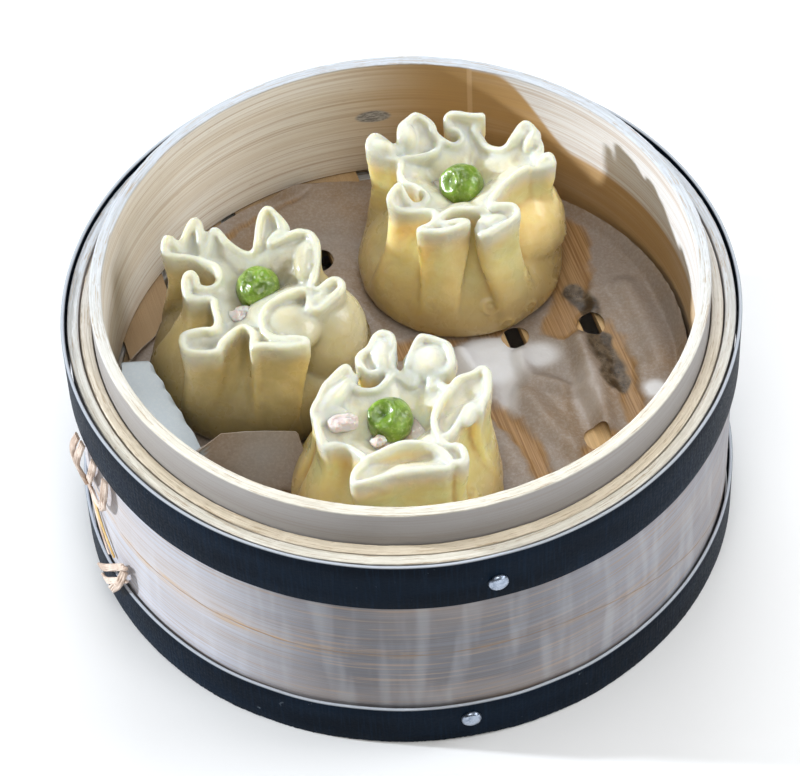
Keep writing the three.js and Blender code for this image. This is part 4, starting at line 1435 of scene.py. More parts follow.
def dough(name, settings):
    """Steamed dough: white at its swollen lips, golden with painted shade in its folds, moist and
    translucent, and painted darker or paler for each wrapper.
    """
    finish = Finish(name)
    place = finish.place()
    below = finish.stored("below_lip")
    crest = finish.stored("crest")
    rise = finish.stored("rise")
    mottle = finish.noise(place, (5, 5, 5), 3, 0.55)
    pore = finish.noise(place, (0.8, 0.8, 0.8), 3, 0.6)
    fold_shade = finish.between(crest, -0.45, 0.03, 1.0, 0.0)
    inner = finish.stored("inner")
    reach = finish.between(crest, -0.2, 0.6, 6.5, 11.0)
    near_lip = finish.between(finish.math("DIVIDE", below, reach), 0.0, 1.0, 1.0, 0.0)
    lip = finish.math("POWER", near_lip, 1.7)
    cloud = finish.noise(place, (3, 3, 3), 3, 0.6)
    # Painted light: each tone lies between its copy on the shaded wrapper and its copy on the most lit one.
    cream = finish.stored("cream")
    plain = finish.mix(cream, settings.dough_shade, settings.dough_color)
    deep = finish.mix(cream, DIM_DEEP, settings.dough_deep)
    foot = finish.mix(cream, DIM_FOOT, settings.dough_low)
    color = finish.mix(finish.between(mottle, 0.3, 0.7), plain, deep)
    color = finish.mix(finish.between(rise, 0.08, 0.7, 0.88, 0.0), color, foot)
    # Painted shade in the valleys of the frill.
    fold_shade = finish.times(fold_shade, finish.between(rise, 0.15, 0.5))
    color = finish.mix(fold_shade, color, finish.mix(cream, DIM_FOLD_SHADE, settings.dough_fold_shade))
    milk = finish.mix(cream, *MILKY)
    lining = finish.mix(cream, *LINING)
    shade = finish.mix(cream, *LINING_SHADE)
    lining = finish.mix(finish.between(cloud, 0.35, 0.65, 0.0, 0.6), lining, shade)
    color = finish.mix(finish.times(inner, 0.85), color, lining)
    color = finish.mix(finish.times(finish.stored("milk"), 0.8), color, milk)
    color = finish.mix(lip, color, finish.mix(cream, DIM_EDGE, settings.dough_edge))
    normal = finish.bump(pore, 0.05)
    normal = finish.bump(mottle, 0.3, normal)
    finish.surface(
        Base_Color=color,
        Roughness=finish.between(mottle, 0.3, 0.7, 0.22, 0.38),
        Normal=normal,
        Subsurface_Weight=1.0,
        Subsurface_Radius=(1.0, 0.8, 0.4),
        Subsurface_Scale=settings.dough_depth,
        Coat_Weight=0.25,
        Coat_Roughness=0.12,
        IOR=1.4,
    )
    return finish.material


def pork(name, color):
    """Minced pork with flecks of fat, cooked and moist; its loose bits are paler."""
    finish = Finish(name)
    place = finish.place()
    bits = finish.cells(place, (2.6, 2.6, 2.6))
    fat = finish.noise(place, (2.2, 2.2, 2.2), 3, 0.6)
    base = finish.mix(finish.between(bits, 0.2, 0.8), color, tuple(0.72 * c for c in color))
    base = finish.mix(finish.between(fat, 0.56, 0.68, 0, 0.8), base, (0.82, 0.78, 0.74))
    base = finish.mix(finish.times(finish.stored("loose"), 0.75), base, (0.72, 0.65, 0.62))
    finish.surface(
        Base_Color=base,
        Roughness=0.28,
        Normal=finish.bump(fat, 0.4),
        Subsurface_Weight=1.0,
        Subsurface_Radius=(1.0, 0.5, 0.3),
        Subsurface_Scale=0.0022,
        Coat_Weight=0.4,
        Coat_Roughness=0.1,
    )
    return finish.material


def pea_skin(name, color):
    """Steamed pea skin, veined, with painted shade in its dents."""
    finish = Finish(name)
    place = finish.place()
    tone = finish.noise(place, (4, 4, 4), 3, 0.5)
    vein = finish.noise(place, (0.9, 0.9, 0.9), 3, 0.6)
    base = finish.mix(finish.between(tone, 0.3, 0.7), color, tuple(0.5 * value for value in color))
    base = finish.mix(finish.between(vein, 0.45, 0.75, 0, 0.5), base, (0.5, 0.58, 0.22))
    # Painted shade in the dents.
    base = finish.mix(finish.times(finish.stored("dent"), 0.8), base, (0.03, 0.09, 0.01))
    finish.surface(
        Base_Color=base,
        Roughness=0.28,
        Normal=finish.bump(vein, 0.12),
        Subsurface_Weight=0.6,
        Subsurface_Radius=(0.5, 1.0, 0.15),
        Subsurface_Scale=0.0018,
        Coat_Weight=0.35,
        Coat_Roughness=0.1,
    )
    return finish.material


def inner_reach(section, centre, angles):
    """How far each ray from the centre runs before it meets the section."""
    a = section[:, :2] - centre
    edge = np.roll(a, -1, axis=0) - a
    reach = np.full(len(angles), np.inf)
    for index, angle in enumerate(angles):
        ray = np.array([math.cos(angle), math.sin(angle)])
        cross = ray[0] * edge[:, 1] - ray[1] * edge[:, 0]
        cross[np.abs(cross) < 1e-9] = 1e-9
        distance = (a[:, 0] * edge[:, 1] - a[:, 1] * edge[:, 0]) / cross
        where = (a[:, 0] * ray[1] - a[:, 1] * ray[0]) / cross
        hit = (distance > 0) & (where >= 0) & (where <= 1)
        if hit.any():
            reach[index] = distance[hit].min()
    return reach


FILLING_SHARES = (0.075, 0.15, 0.25, 0.34, 0.45, 0.55, 0.62, 0.68, 0.72)  # of the wrapper's height
FILLING_TOP = (0.94, 0.86, 0.76, 0.66, 0.55, 0.44, 0.33, 0.22, 0.12, 0.05)  # rings to the middle
FILLING_RADIUS = 14.5  # at most, inside the frill
FILLING_CROWN = 1.9  # rise of the top's middle
FILLING_STEP = 0.8  # most that the reach changes from one side to the next


def make_filling(name, settings, material, seed):
    """The pork: sides that follow the wrapper and a lumpy top."""
    design, lip = DUMPLINGS[name], lip_line(name)
    thickness = settings.wrapper_thickness / MM
    base = base_angles(lip)
    centre = np.array(design["base"])
    sides = 144
    angles = np.arange(sides) * 2 * math.pi / sides
    rows = []
    for share in FILLING_SHARES:
        section = wall_section(design, lip, base, share)
        section = section - outward(section) * thickness / 2
        widest = lerp(design["radius"], FILLING_RADIUS, frill(share))
        reach = np.minimum(inner_reach(section, centre, angles) - 0.05, widest)
        for _ in range(12):
            beside = np.minimum(np.roll(reach, 1), np.roll(reach, -1))
            reach = np.minimum(reach, beside + FILLING_STEP)
        spots = centre + reach[:, None] * np.column_stack([np.cos(angles), np.sin(angles)])
        rows.append(np.column_stack([spots, np.full(sides, FOOD_BASE + share * design["height"])]))
    edge = rows[-1]
    for share in FILLING_TOP:
        ring = np.column_stack([lerp(centre, edge[:, :2], share), edge[:, 2]])
        ring[:, 2] += FILLING_CROWN * (1 - share**2)
        rows.append(ring)
    count = len(rows) * sides
    crown = np.array([*centre, edge[0, 2] + FILLING_CROWN])
    foot = np.array([*centre, FOOD_BASE + FILLING_SHARES[0] * design["height"]])
    points = np.vstack([*rows, crown, foot])
    on_top = smoothstep(points[:, 2], edge[0, 2] - 2, edge[0, 2] + 0.5)
    lumps = 0.8 * rough(points, 3.4, seed) + 0.45 * rough(points, 1.5, seed + 1)
    points[:, 2] += on_top * lumps
    points[:, 2] = np.maximum(points[:, 2], node_box(f"filling_{name}")[0][2])
    faces = grid_faces(len(rows), sides)
    faces += fan_faces(range(sides), count + 1, flip=True)
    faces += fan_faces(range(count - sides, count), count)
    for number, bit in enumerate(design["bits"]):
        shape, squares = ball(24, 32)
        shape = np.sign(shape) * np.abs(shape) ** 0.7
        shape = turned(shape * bit[3:6], bit[6]) + lobe_middle(design, bit)
        lumpy = 0.6 * rough(shape, 1.3, seed + number) + 0.35 * rough(shape, 0.5, seed)
        shape = shape + lumpy[:, None] * [1, -1, 0.7]
        faces += [tuple(corner + len(points) for corner in face) for face in squares]
        points = np.vstack([points, shape])
    loose = np.arange(len(points)) >= count + 2
    return make_piece(f"filling_{name}_pork", points, faces, material, 80, loose=loose)


# Dents of each pea: direction, depth and width, in shares of its radius. A depth below 0 is a bulge.
PEA_DENTS = {
    "back": [
        ((-0.66, -0.36, 0.66), 0.2, 0.27),
        ((-0.3, -0.5, 0.8), -0.06, 0.2),
        ((0.2, 0.1, 1.0), 0.04, 0.3),
    ],
    "left": [
        ((-0.2, -0.2, 0.95), 0.12, 0.2),
        ((0.25, -0.1, 0.95), 0.08, 0.14),
        ((-0.1, 0.25, 0.95), 0.08, 0.16),
        ((-0.5, -0.5, 0.7), 0.08, 0.14),
        ((0.1, -0.6, 0.75), 0.05, 0.16),
    ],
    "front": [
        ((-0.36, -0.28, 0.88), 0.4, 0.3),
        ((-0.1, -0.75, 0.6), 0.08, 0.16),
        ((0.4, -0.3, 0.8), 0.05, 0.25),
    ],
}


def make_pea(name, dents, material, seed):
    """A pea with its dents and the soft swelling round each."""
    low, high = node_box(f"pea_{name}")
    centre = (low + high) / 2
    radius = float((high - low).max()) / 2
    points, faces = ball(40, 64)
    swell = np.zeros(len(points))
    dent = np.zeros(len(points))
    for direction, depth, width in dents:
        away = np.array(direction) / np.linalg.norm(direction)
        distance = np.linalg.norm(points - away, axis=1)
        swell -= depth * bell(distance, width * 1.3)
        # How deep each point lies in a dent, kept for the painted shade there.
        dent = np.maximum(dent, 2.5 * depth * bell(distance, width * 1.1))
        swell += 0.3 * depth * bell(distance - 2.1 * width, width * 0.6)
    swell += 0.035 * rough(points, 0.5, seed) + 0.018 * rough(points, 0.22, seed + 1)
    points = centre + points * (radius * (1 + swell))[:, None]
    return make_piece(f"pea_{name}_green", points, faces, material, 80, dent=np.minimum(dent, 1))


class STEAMER_OT_wrappers(bpy.types.Operator):
    """Make the frilled dough wrappers"""

    bl_idname = "steamer.wrappers"
    bl_label = "Wrappers"

    def execute(self, context):
        settings = context.scene.steamer_dumplings
        material = dough("dough", settings)
        for name in DUMPLINGS:
            dress(make_wrapper(name, settings, material), f"wrapper_{name}")
        return {"FINISHED"}


class STEAMER_OT_fillings(bpy.types.Operator):
    """Make the pork inside the wrappers"""

    bl_idname = "steamer.fillings"
    bl_label = "Fillings"

    def execute(self, context):
        settings = context.scene.steamer_dumplings
        material = pork("pork", settings.pork_color)
        for seed, name in enumerate(DUMPLINGS):
            dress(make_filling(name, settings, material, 40 + seed), f"filling_{name}")
        return {"FINISHED"}


class STEAMER_OT_peas(bpy.types.Operator):
    """Make the pea on each dumpling"""

    bl_idname = "steamer.peas"
    bl_label = "Peas"

    def execute(self, context):
        settings = context.scene.steamer_dumplings
        material = pea_skin("pea_skin", settings.pea_color)
        for seed, (name, dents) in enumerate(PEA_DENTS.items()):
            dress(make_pea(name, dents, material, 60 + seed), f"pea_{name}")
        return {"FINISHED"}


# ---------------- paper liner

# The edge of the paper: angle in degrees, radius, rise above the slats, and how far past that edge
# a folded corner lies over towards the wall. It runs from the back left round the left, the front,
# the right and the back. Its corners at the left and at the front left stand up on their folds.
LINER_EDGE = np.array(
    [
        (115, 62.6, 2.6, 0), (118, 62.4, 1.5, 0), (123, 63.4, 1, 0), (136, 63.6, 1, 0), (150, 58, 0, 0),
        (166, 58, 1, 0), (176, 62.5, 3, 0), (181, 61, 9, 1), (182.8, 56.4, 11.6, 6.4),
        (189.6, 54.2, 11.4, 8.6), (198.3, 52.6, 11.4, 10.2), (206.7, 52.4, 11.4, 10.4),
        (213.2, 53.2, 11, 9.6), (213.8, 52, 13.5, 0),
        (214.4, 49.5, 15.4, 0), (218, 44.9, 15.4, 0), (222, 41.5, 15.4, 0), (226, 39, 15.4, 0),
        (230, 37, 15.4, 0), (234, 38, 10, 0), (240, 47, 4, 0), (246, 60, 1.5, 0), (255, 63.4, 2, 0),
        (290, 63.6, 2.4, 0), (340, 64, 3.4, 0), (352, 64, 5, 0), (375, 64, 5, 0), (395, 64, 3, 0),
        (440, 62, 0.4, 0), (450, 60.8, 0, 0), (458, 61.4, 0, 0), (467, 62.8, 1, 0), (472, 63, 2.6, 0),
        (475, 62.6, 2.6, 0),
    ]
)  # fmt: skip
LINER_LEVEL = SLAT_TOP + 0.5
LINER_FLOOR = 61.5  # radius past which the paper can only rise
LINER_SLANT = 0.35  # how far out its folds lie for each millimetre that the edge rises
PAPER_RADIUS = 62  # of the flat sheet, about
PAPER_SPAN = 80  # more than any place of the flat sheet is away from its middle
HOLE_RADIUS = 3.2
HOLE_SIDES = 28
HOLE_CENTRE = (2.3, -4.0)
HOLE_RINGS = ((0, 1, 0), (26.7, 5, 29.3), (43.6, 8, 21))  # radius, number and first angle
# Strips in which the wet paper clings to the slats: points along the middle, and half the width.
WET_STRIPS = (
    (((46.5, 10), (48.2, 3), (49.3, -4), (50.6, -12), (52, -19)), 2.9),
    (((36, 12), (38.6, 19), (40.6, 30), (39.5, 44)), 4.4),
    (((20.5, -14), (25, -19.5), (28.3, -27), (30, -34)), 2.5),
    (((6.6, 7.3), (15.4, 9.8), (23.5, 11.5)), 1.3),
    (((-10, 8), (0, 6), (6, 8)), 3.0),
    (((40, -26), (46, -21)), 1.6),
    (((-24, 58.5), (-36, 51.5), (-47, 42)), 3.5),
)
# Places where froth is caught under the wet paper, in the same form.
FROTH = (
    (((44.9, 7), (46.2, 1), (47.6, -6.5)), 2.9),
    (((39.8, 22), (42.5, 18.5), (43.6, 15)), 2.6),
)
COVERED_HOLE = (21.9, -22.1)  # a fold of the paper lies over this one
PULLED_HOLE = (-13.3, 36.7)  # the paper is stretched here, so this one lies further out
PULL = (-4.9, -1.4)
# Ridges and creases of the crumpled paper: points along each, half its width, and height or depth.
RIDGES = (
    (((40, 6), (41.1, 1.2), (44.8, -22)), 3.6, 2.6),
    (((25.5, 4), (28, -3.6), (35, -6.4), (40, -8)), 3.2, 1.8),
    (((13, 4), (17, -4), (20, -12)), 3.4, 2.2),
    (((27, -8), (31, -16), (38, -26)), 4.5, 1.6),
    (((52, 22), (56, 10), (58, 0)), 5.0, 1.6),
)
CREASES = (
    (((25, 6), (23.4, -2), (22, -11)), 2.4, 1.4),
    (((33, 3), (37, -4), (40, -18)), 2.6, 1.2),
)
# Places where light is painted on the paper as whiter colour, such as the patch of sun at the right and
# light along its ridges: middle, reach along X and Y, and how white.
PAINTED_LIGHT_SPOTS = (
    ((19.5, 2), (10, 10), 1.0),
    ((30, 3.5), (6, 4), 0.8),
    ((22.5, -7), (3.5, 8), 0.6),
    ((56, -9), (3.2, 2.8), 1.0),
    ((47, 5), (3, 4), 0.3),
    ((41, -9), (4, 9), 0.28),
)


def liner_edge(degrees):
    """Radius, rise and folded reach of the paper's edge at each angle."""
    degrees = np.where(degrees < LINER_EDGE[0, 0], degrees + 360, degrees)
    return tuple(np.interp(degrees, LINER_EDGE[:, 0], LINER_EDGE[:, column]) for column in (1, 2, 3))


def liner_fold(radius, rise):
    """Radius at which the paper leaves the floor."""
    return np.minimum(radius + LINER_SLANT * rise, LINER_FLOOR)


def distance_to_line(x, y, line):
    """Distance from points to an open line, all seen from above."""
    nearest = np.full(np.shape(x), 1e9)
    for (ax, ay), (bx, by) in zip(line[:-1], line[1:]):
        length = (bx - ax) ** 2 + (by - ay) ** 2
        share = np.clip(((x - ax) * (bx - ax) + (y - ay) * (by - ay)) / length, 0, 1)
        away = np.hypot(x - ax - share * (bx - ax), y - ay - share * (by - ay))
        nearest = np.minimum(nearest, away)
    return nearest


def strip_share(strips, x, y, soft=1.0):
    """1 on the strips, fading to 0 at their wavering edges."""
    sway = 1.3 * rough(np.column_stack([x, y, 0 * x]), 3.5, 12)
    share = np.zeros_like(x)
    for line, half in strips:
        away = distance_to_line(x, y, line) + sway
        share = np.maximum(share, 1 - smoothstep(away, half - soft, half + soft))
    return share


def painted_light_share(x, y):
    """How much light is painted on the paper at each place."""
    share = np.zeros_like(x)
    for (cx, cy), (reach_x, reach_y), amount in PAINTED_LIGHT_SPOTS:
        away = np.hypot((x - cx) / reach_x, (y - cy) / reach_y)
        share = np.maximum(share, amount * (1 - smoothstep(away, 0.5, 1.2)))
    return share


def liner_wave(x, y):
    """Height of the crumpled damp paper, flattened under each dumpling and where it clings."""
    wave = 0.75 + 0.45 * np.sin(0.16 * x + 0.09 * y) + 0.3 * np.sin(0.11 * x - 0.21 * y + 1)
    for line, half, height in RIDGES:
        wave += height * (1 - smoothstep(distance_to_line(x, y, line), 0, half))
    for line, half, height in CREASES:
        wave -= height * (1 - smoothstep(distance_to_line(x, y, line), 0, half))
    clear = np.ones_like(x)
    for dumpling in DUMPLINGS.values():
        bx, by = dumpling["base"]
        clear = np.minimum(clear, smoothstep(np.hypot(x - bx, y - by) - dumpling["radius"], -2, 5))
    wave += 0.25 * rough(np.column_stack([x, y, 0 * x]), 3.2, 13)
    return np.maximum(wave, 0.1) * clear * (1 - 0.92 * strip_share(WET_STRIPS, x, y))


def lay_paper(flat):
    """Folds points of the flat sheet into their place in the basket."""
    degrees = np.degrees(np.arctan2(flat[:, 1], flat[:, 0])) % 360
    reach = np.hypot(flat[:, 0], flat[:, 1])
    radius, rise, over = liner_edge(degrees)
    fold = liner_fold(radius, rise)
    length = np.hypot(radius - fold, rise)
    up = np.clip((reach - fold) / np.maximum(length, 1e-3), 0, 1)
    past = np.clip(reach - fold - length, 0, over)
    r = np.where(reach > fold, lerp(fold, radius, up) + past, reach)
    turn = np.radians(degrees)
    x, y = r * np.cos(turn), r * np.sin(turn)
    z = LINER_LEVEL + 0.05 + liner_wave(x, y) * (1 - up) + rise * up + 0.06 * past
    return np.column_stack([x, y, z])


def paper_outline(degrees):
    """Radius of the flat sheet at each angle."""
    radius, rise, over = liner_edge(degrees)
    fold = liner_fold(radius, rise)
    return fold + np.hypot(radius - fold, rise) + over


def hole_places():
    """Middles of the punched holes on the flat sheet."""
    holes = []
    for ring, count, phase in HOLE_RINGS:
        for index in range(count):
            angle = math.radians(phase + 360 * index / count)
            x = HOLE_CENTRE[0] + ring * math.cos(angle)
            y = HOLE_CENTRE[1] + ring * math.sin(angle)
            if math.dist((x, y), COVERED_HOLE) <= 1:
                continue
            if math.dist((x, y), PULLED_HOLE) < 1:
                x += PULL[0]
                y += PULL[1]
            holes.append((x, y))
    return holes


def cut_paper(spacing):
    """Points and triangles of the flat sheet with its punched holes."""
    points, edges = [], []

    def add_loop(loop):
        first = len(points)
        points.extend(loop)
        edges.extend((first + i, first + (i + 1) % len(loop)) for i in range(len(loop)))

    steps = int(2 * math.pi * PAPER_RADIUS / spacing)
    degrees = np.arange(steps) * 360 / steps
    turns = [math.radians(degree) for degree in degrees]
    add_loop([(r * math.cos(t), r * math.sin(t)) for t, r in zip(turns, paper_outline(degrees))])
    holes = hole_places()
    turns = [2 * math.pi * side / HOLE_SIDES for side in range(HOLE_SIDES)]
    for x, y in holes:
        add_loop([(x + HOLE_RADIUS * math.cos(t), y + HOLE_RADIUS * math.sin(t)) for t in turns])
    span = int(PAPER_SPAN / spacing)
    rows, columns = np.meshgrid(np.arange(-span, span + 1), np.arange(-span, span + 1))
    x = ((columns + 0.5 * (rows % 2)) * spacing).ravel()
    y = (rows * spacing * math.sqrt(0.75)).ravel()
    inside = in_sheet(x, y, holes, 0.5 * spacing)
    points += [spot for spot, keep in zip(zip(x, y), inside) if keep]
    flat, _, triangles, *_ = delaunay_2d_cdt([Vector(spot) for spot in points], edges, [], 0, 1e-5)
    flat = np.array([tuple(spot) for spot in flat])
    middles = np.array([flat[list(triangle)].mean(axis=0) for triangle in triangles])
    kept = in_sheet(middles[:, 0], middles[:, 1], holes, -0.02)
    return flat, [tuple(triangle) for triangle, keep in zip(triangles, kept) if keep]


def in_sheet(x, y, holes, margin):
    """Which places are on the flat sheet, at least a margin from its edge and its holes."""
    limit = paper_outline(np.degrees(np.arctan2(y, x)) % 360)
    to_hole = np.min([np.hypot(x - hx, y - hy) for hx, hy in holes], axis=0)
    return (np.hypot(x, y) < limit - margin) & (to_hole > HOLE_RADIUS + margin)


SOAKED = ((0.66, 0.42, 0.19), (0.38, 0.21, 0.08))  # streaks of the slats that show through
FOAM = ((0.08, 0.05, 0.025), (0.24, 0.18, 0.12))
FOAM_RING = (0.05, 0.045, 0.04)
# Painted light: the paper's standing flaps are painted pale and bluish.
FLAP_LIGHT_COLOR = (0.6, 0.67, 0.73)
PAINTED_LIGHT_WHITE = (0.96, 0.97, 1.0)


def damp_paper(name, settings):
    """Steamer paper: matt where dry, see-through where it is wet, with painted light on its pale patches
    and on its standing flaps.
    """
    finish = Finish(name)
    place = finish.place()
    damp = finish.noise(place, (22, 22, 22), 3, 0.55)
    fibre = finish.noise(place, (0.7, 0.7, 0.7), 3, 0.7)
    crease = finish.noise(place, (7, 7, 7), 4, 0.6)
    patch = finish.noise(place, (3, 3, 3), 4, 0.6)
    cling = finish.stored("cling")
    edge = finish.plus(cling, finish.times(finish.minus(patch, 0.5), 0.8))
    wet = finish.between(edge, 0.1, 1.0)
    x, y, _ = finish.split(place)
    grain = finish.noise(finish.combine(*along_slats(finish, x, y), 0.0), (30, 0.5, 1), 3, 0.65)
    soaked = finish.mix(finish.between(grain, 0.35, 0.65), *SOAKED)
    bubble = finish.cells(place, (1.0, 1.0, 1.0))
    ring = finish.between(finish.apart(bubble, 0.3), 0.02, 0.12, 1.0, 0.0)
    foam = finish.mix(finish.between(patch, 0.35, 0.65), *FOAM)
    foam = finish.mix(finish.times(ring, 0.6), foam, FOAM_RING)
    froth = finish.plus(finish.stored("froth"), finish.times(patch, 0.7))
    froth = finish.between(froth, 0.5, 1.15)
    see_through = finish.times(wet, finish.between(froth, 0.0, 1.0, 0.25, 0.0))
    colors = (settings.paper_color, settings.paper_wet)
    color = finish.mix(finish.between(damp, 0.3, 0.7), *colors)
    # Painted light: whiter paper where light falls on it.
    color = finish.mix(finish.stored("bright"), color, PAINTED_LIGHT_WHITE)
    # Painted light on the standing flaps.
    color = finish.mix(finish.stored("flap"), color, FLAP_LIGHT_COLOR)
    color = finish.mix(finish.between(fibre, 0.4, 0.7, 0, 0.15), color, (0.9, 0.88, 0.85))
    color = finish.mix(wet, color, soaked)
    color = finish.mix(froth, color, foam)
    shader = finish.surface(
        Base_Color=color,
        Roughness=finish.between(damp, 0.3, 0.7, 0.42, 0.22),
        Normal=finish.bump(crease, 0.5, finish.bump(fibre, 0.05)),
        Subsurface_Weight=0.0,
        Specular_IOR_Level=0.5,
    )
    glow = finish.node("ShaderNodeBsdfTranslucent", {"Color": color})
    solid = finish.node("ShaderNodeMixShader", {0: 0.35, 1: shader.outputs[0], 2: glow.outputs[0]})
    clear = finish.node("ShaderNodeBsdfTransparent", {})
    whole = finish.node("ShaderNodeMixShader", {0: see_through, 1: solid.outputs[0], 2: clear.outputs[0]})
    finish.tree.links.new(whole.outputs[0], finish.output.inputs[0])
    return finish.material


class STEAMER_OT_paper(bpy.types.Operator):
    """Cut, punch and lay the damp paper"""

    bl_idname = "steamer.paper"
    bl_label = "Paper liner"

    def execute(self, context):
        settings = context.scene.steamer_paper
        flat, triangles = cut_paper(1.0)
        laid = lay_paper(flat)
        nudge = 1e-2
        ahead = lay_paper(flat + [nudge, 0]) - laid
        beside = lay_paper(flat + [0, nudge]) - laid
        normal = unit(np.cross(ahead, beside))
        half = settings.paper_thickness / MM / 2
        count = len(flat)
        points = np.vstack([laid + normal * half, laid - normal * half])
        faces = list(triangles) + [tuple(i + count for i in face[::-1]) for face in triangles]
        faces += border_faces(triangles, count)
        degrees = np.degrees(np.arctan2(flat[:, 1], flat[:, 0])) % 360
        radius, rise, over = liner_edge(degrees)
        fold = liner_fold(radius, rise)
        reach = np.hypot(flat[:, 0], flat[:, 1])
        flat_share = 1 - smoothstep(reach, fold - 3, fold + 1)
        shares = {
            "cling": strip_share(WET_STRIPS, laid[:, 0], laid[:, 1], 1.6) * flat_share,
            "froth": strip_share(FROTH, laid[:, 0], laid[:, 1], 1.4) * flat_share,
            "bright": painted_light_share(laid[:, 0], laid[:, 1]) * flat_share,
            # Where the flaps get their painted light.
            "flap": np.maximum(smoothstep(over, 2, 6), 0.35 * bell(degrees - 222, 8)) * (1 - flat_share),
        }
        shares = {key: np.concatenate([value, value]) for key, value in shares.items()}
        material = damp_paper("damp_paper", settings)
        piece = make_piece("liner_paper", points, faces, material, 60, **shares)
        dress(piece, "liner")
        return {"FINISHED"}


# ---------------- stage


# Soft lights: name, where they stand round the basket and how high, in degrees, their size in
# metres, their power in watts and their colour.
SOFT_BOXES = (
    ("top_light", 110.0, 80.0, 0.8, 3.7, (0.97, 0.99, 1.0)),
    ("right_light", 5.0, 36.0, 0.6, 6.5, (0.95, 0.97, 1.0)),
    ("back_light", 90.0, 45.0, 0.7, 4.6, (0.92, 0.96, 1.0)),
    ("low_light", -35.0, 20.0, 0.5, 2.6, (0.95, 0.98, 1.0)),
    ("front_light", -90.0, 60.0, 0.7, 5.2, (1.0, 0.99, 0.96)),
)


LIGHT_DISTANCE = 1.2  # of the soft lights from the basket, in metres
FLOOR_REACH = 3.0
KEY_COLOR = (0.87, 0.93, 1.0)
SKY_COLOR = (0.95, 0.97, 1.0, 1.0)


def place_light(data, azimuth, elevation, distance):
    """Stands a light round the basket, facing it."""
    away = math.radians(azimuth)
    level = math.cos(elevation)
    stand = Vector((math.cos(away) * level, math.sin(away) * level, math.sin(elevation)))
    lamp = bpy.data.objects.new(data.name, data)
    lamp.location = stand * distance
    lamp.rotation_euler = (-stand).to_track_quat("-Z", "Y").to_euler()
    bpy.context.scene.collection.objects.link(lamp)


class STEAMER_OT_stage(bpy.types.Operator):
    """Set the pale floor, the lights and the camera"""

    bl_idname = "steamer.stage"
    bl_label = "Stage"

    def execute(self, context):
        settings = context.scene.steamer_stage
        scene = context.scene
        scene.view_settings.view_transform = "Standard"
        finish = Finish("pale_floor")
        shade = finish.noise(finish.place(), (400, 400, 400), 2, 0.5)
        finish.surface(
            Base_Color=finish.mix(shade, (0.88, 0.88, 0.88), (0.92, 0.92, 0.92)),
            Roughness=0.9,
            Specular_IOR_Level=0.1,
        )
        mesh = bpy.data.meshes.new("stage_floor")
        corners = [(-1, -1), (1, -1), (1, 1), (-1, 1)]
        corners = [(FLOOR_REACH * x, FLOOR_REACH * y, 0) for x, y in corners]
        mesh.from_pydata(corners, [], [(0, 1, 2, 3)])
        mesh.materials.append(finish.material)
        floor = bpy.data.objects.new("stage_floor", mesh)
        scene.collection.objects.link(floor)

        world = bpy.data.worlds.new("studio_light")
        world.use_nodes = True
        sky = world.node_tree.nodes["Background"]
        sky.inputs["Color"].default_value = SKY_COLOR
        sky.inputs["Strength"].default_value = settings.fill_strength
        scene.world = world

        key = bpy.data.lights.new("key_light", "SUN")
        key.energy = settings.key_strength
        key.angle = settings.key_softness
        key.color = KEY_COLOR
        place_light(key, settings.key_azimuth + 180, settings.key_elevation, 1.0)
        for name, azimuth, elevation, size, power, color in SOFT_BOXES:
            lamp = bpy.data.lights.new(name, "AREA")
            lamp.shape = "DISK"
            lamp.size = size
            lamp.energy = power
            lamp.color = color
            place_light(lamp, azimuth, math.radians(elevation), LIGHT_DISTANCE)

        camera = bpy.data.cameras.new("camera")
        camera.sensor_width = 36.0
        camera.lens = settings.lens
        camera.clip_end = 20.0
        eye = bpy.data.objects.new("camera", camera)
        tilt, roll = settings.view_elevation, settings.view_roll
        back = Vector((0, -math.cos(tilt), math.sin(tilt)))
        right = Vector((1, 0, 0))
        up = back.cross(right)
        turned_right = math.cos(roll) * right + math.sin(roll) * up
        turned_up = -math.sin(roll) * right + math.cos(roll) * up
        target = Vector(settings.view_target)
        facing = Matrix((turned_right, turned_up, back)).transposed().to_4x4()
        facing.translation = target + back * settings.view_distance
        eye.matrix_world = facing
        scene.collection.objects.link(eye)
        scene.camera = eye
        return {"FINISHED"}


# ---------------- settings


class BasketSettings(bpy.types.PropertyGroup):
    pale_wood: FloatVectorProperty(
        name="Pale wood", description="Outside of the wall", subtype="COLOR", default=(0.55, 0.57, 0.64)
    )
    warm_wood: FloatVectorProperty(
        name="Warm wood", description="Inside of the rim", subtype="COLOR", default=(0.95, 0.92, 0.85)
    )
    tan_wood: FloatVectorProperty(
        name="Tan wood", description="Rim beside its lap", subtype="COLOR", default=(0.48, 0.3, 0.125)
    )
    vein_color: FloatVectorProperty(
        name="Veins", description="Dark fibres in the bamboo", subtype="COLOR", default=(0.42, 0.26, 0.12)
    )
    band_color: FloatVectorProperty(
        name="Bands", description="Coating of the straps", subtype="COLOR", default=(0.0015, 0.005, 0.011)
    )
    edge_radius: FloatProperty(
        name="Edge radius", description="Rounding of the hoops' edges", subtype="DISTANCE", default=0.0004
    )


